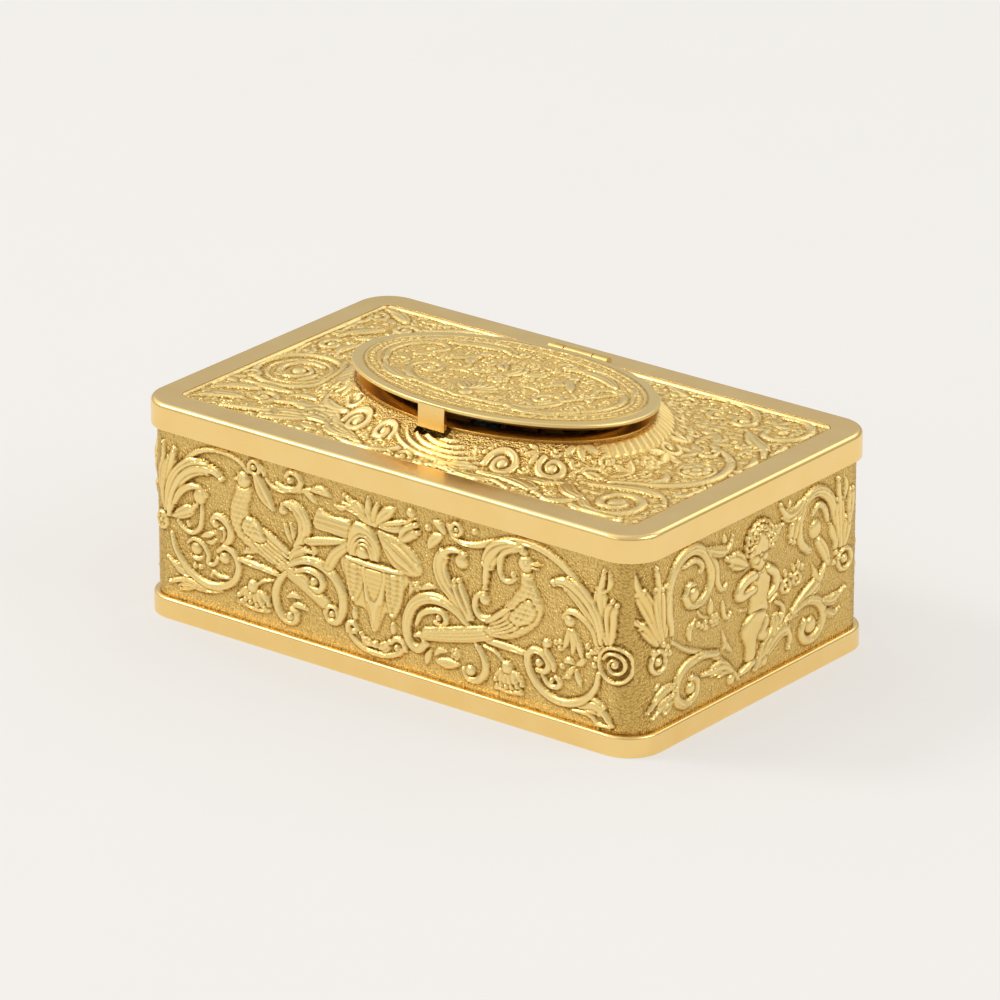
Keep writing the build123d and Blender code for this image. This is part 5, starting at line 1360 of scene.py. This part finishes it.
def lid_piece(relief, material):
    """The embossed lid, in rings from its middle over the rim to the lip underneath."""
    count = 600
    a = np.linspace(0, 2 * math.pi, count, endpoint=False)
    circle = np.stack([np.cos(a), np.sin(a)], axis=1)
    size = np.array([LID_A, LID_B])
    shares = np.concatenate([np.linspace(0.02, 0.984, 114), [0.989, 0.993, 0.997, 1.0]])
    flat = shares[:, None, None] * (circle * size)[None]
    x, y = flat[:, :, 0], flat[:, :, 1]
    inset = (1 - shares[:, None]) * 0.5 * (LID_A + LID_B)
    rim = np.clip(1 - (1 - inset / LID_EDGE) ** 2, 0, 1) ** 0.5
    rim = np.where(inset < LID_EDGE, rim, 1.0)
    inner = np.clip((inset - LID_BORDER) / 0.4, 0, 1)
    drawn = soft_height(sample(relief, relief.z, x, y), LID_RELIEF)
    z = LID_HIGH - LID_EDGE * (1 - rim) + inner * (LID_FIELD_RISE + LID_SHARE * drawn)
    cavity_shading = np.where(inner > 0.5, sample(relief, relief.cavity_shading, x, y), 0.6)
    # Painted shade in the narrow step where the lid's border rises to its field
    cavity_shading = np.where((inner > 0) & (inner < 1), 0.3, cavity_shading)
    raised = np.where(inner > 0.5, sample(relief, relief.raised, x, y), 1.0)
    rings = [np.dstack([x, y, z])]
    under = [
        (LID_A, LID_B, LID_LOW + LID_BEVEL_HEIGHT),
        (LID_A - LID_BEVEL_DEPTH, LID_B - LID_BEVEL_DEPTH, LID_LOW),
        (LIP_A, LIP_B, LID_LOW),
        (LIP_A, LIP_B, LID_LOW - LIP_DEPTH),
        (LIP_A - LIP_WIDTH, LIP_B - LIP_WIDTH, LID_LOW - LIP_DEPTH),
        (LIP_A - LIP_WIDTH, LIP_B - LIP_WIDTH, LID_LOW),
    ]
    for half_a, half_b, level in under:
        ring = np.hstack([circle * [half_a, half_b], np.full((count, 1), level)])
        rings.append(ring[None])
    points = np.concatenate(rings).reshape(-1, 3)
    total = len(shares) + len(under)
    index = np.arange(total * count).reshape(total, count)
    index = np.hstack([index, index[:, :1]])
    faces = np.concatenate([quads(index[k + 1], index[k]) for k in range(total - 1)]).tolist()
    faces.append(index[0, :-1].tolist())
    faces.append(index[-1, :-1][::-1].tolist())
    hidden = (len(under) - 1) * count
    # The lid's outer edge keeps the middle tone; painted shade over its bevel, underside and lip
    shade = np.concatenate([cavity_shading.reshape(-1), np.full(count, 0.5), np.full(hidden, 0.3)])
    raised = np.concatenate([raised.reshape(-1), np.ones(count), np.full(hidden, 0.8)])
    return make_mesh("embossed_lid", tilted(points), faces, shade, raised, material)


# Stage


def add_floor():
    """A pale floor that glows a little to the camera and in reflections, and keeps the shadow."""
    bpy.ops.mesh.primitive_plane_add(size=6.0, location=(0, 0, 0))
    floor = bpy.context.object
    floor.name = "floor"
    material, tree, shader = node_tree("paper")
    grain = noise(tree, 30.0)
    ramp(tree, grain.outputs["Fac"], [(0.0, PAPER_LOW), (1.0, PAPER_HIGH)], shader.inputs["Base Color"])
    shader.inputs["Roughness"].default_value = 0.9
    shader.inputs["Specular IOR Level"].default_value = 0.1
    glow = tree.nodes.new("ShaderNodeEmission")
    glow.inputs["Color"].default_value = (*PAPER, 1)
    glow.inputs["Strength"].default_value = 1.0
    seen = tree.nodes.new("ShaderNodeLightPath")
    share = maths(tree, "ADD", seen.outputs["Is Camera Ray"], seen.outputs["Is Glossy Ray"])
    share = maths(tree, "ADD", share, seen.outputs["Is Transmission Ray"])
    share = maths(tree, "MULTIPLY", maths(tree, "MINIMUM", share, 1.0), PAPER_SHARE)
    mix = tree.nodes.new("ShaderNodeMixShader")
    tree.links.new(share, mix.inputs["Fac"])
    tree.links.new(shader.outputs[0], mix.inputs[1])
    tree.links.new(glow.outputs[0], mix.inputs[2])
    tree.links.new(mix.outputs[0], tree.nodes["Material Output"].inputs["Surface"])
    floor.data.materials.append(material)


def add_light(name, azimuth, elevation, size, power, colour):
    data = bpy.data.lights.new(name, "AREA")
    data.shape = "RECTANGLE"
    data.size, data.size_y = size
    data.energy = power
    data.color = colour
    light = bpy.data.objects.new(name, data)
    back = direction(azimuth, elevation)
    light.location = back * LIGHT_DISTANCE
    light.rotation_euler = back.to_track_quat("Z", "Y").to_euler()
    bpy.context.scene.collection.objects.link(light)


def toward(tree, vector, azimuth, elevation):
    """How nearly the looked-up direction points the given way, as a cosine."""
    node = tree.nodes.new("ShaderNodeVectorMath")
    node.operation = "DOT_PRODUCT"
    tree.links.new(vector, node.inputs[0])
    node.inputs[1].default_value = direction(azimuth, elevation)
    return node.outputs["Value"]


def add_world():
    """A pale studio, bright above and at the left and dimmer low down."""
    world = bpy.data.worlds.new("world")
    world.use_nodes = True
    tree = world.node_tree
    background = tree.nodes["Background"]
    place = tree.nodes.new("ShaderNodeTexCoord").outputs["Generated"]
    split = tree.nodes.new("ShaderNodeSeparateXYZ")
    tree.links.new(place, split.inputs[0])
    height = maths(tree, "MULTIPLY_ADD", split.outputs["Z"], 0.5)
    height.node.inputs[2].default_value = 0.5
    sky = ramp(tree, height, SKY_LEVELS)
    glow = ramp(tree, toward(tree, place, *GLOW_DIRECTION), GLOW_LEVELS)
    level = maths(tree, "MULTIPLY", sky.outputs["Color"], glow.outputs["Color"])
    tree.links.new(level, background.inputs["Color"])
    background.inputs["Strength"].default_value = 1.0
    bpy.context.scene.world = world


add_camera()
add_world()
add_floor()
for name, light in LIGHTS.items():
    add_light(name, *light)
bpy.context.scene.view_settings.view_transform = "Standard"

gilt = embossed_gilt()
finishes = {
    "gilt": plain("satin_gilt", (0.60, 0.40, 0.13), (0.80, 0.56, 0.20), 0.42, 1.0, 500.0, 0.1),
    "gilt_polished": polished_gilt(),
    "movement_brass": plain("movement_brass", (0.55, 0.36, 0.12), (0.80, 0.58, 0.26), 0.3, 1.0),
    "steel": plain("steel", (0.42, 0.42, 0.44), (0.62, 0.62, 0.64), 0.28, 1.0),
    "leather": plain("leather", (0.20, 0.13, 0.08), (0.36, 0.25, 0.16), 0.7, 0.0, 900.0, 0.4),
    "board_wood": plain("board_wood", (0.22, 0.11, 0.05), (0.36, 0.20, 0.10), 0.5, 0.0, 300.0, 0.2),
    "feather": feathers("feather", (0.01, 0.08, 0.12), (0.03, 0.30, 0.34), (0.10, 0.52, 0.40)),
    "feather_dark": feathers("feather_dark", (0.07, 0.01, 0.02), (0.34, 0.04, 0.05), (0.60, 0.14, 0.06)),
    "beak_horn": plain("beak_horn", (0.75, 0.66, 0.50), (0.88, 0.82, 0.70), 0.35, 0.0),
}
for node in nodes.values():
    for slot in node.material_slots:
        name = slot.material.name.split(".")[0] if slot.material else ""
        if name in finishes:
            slot.material = finishes[name]

front = front_relief()
side = side_relief()
sheets = {
    "front": (front, CASE_LENGTH / 2, False),
    "right": (side, CASE_WIDTH / 2, False),
    "back": (front, CASE_LENGTH / 2, True),
    "left": (side, CASE_WIDTH / 2, True),
}
for name, (relief, centre, mirror) in sheets.items():
    piece = wall_sheet(name, relief, centre, gilt, mirror)
    if name == "left":
        cut(piece, box_piece(*SLIDE_SLOT))
    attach(piece, "case")
    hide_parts("case_wall")

panel = top_panel(top_relief(), gilt)
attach(panel, "case")
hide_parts("top_panel")

lid = lid_piece(lid_relief(), gilt)
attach(lid, "lid")
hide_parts("oval_lid")
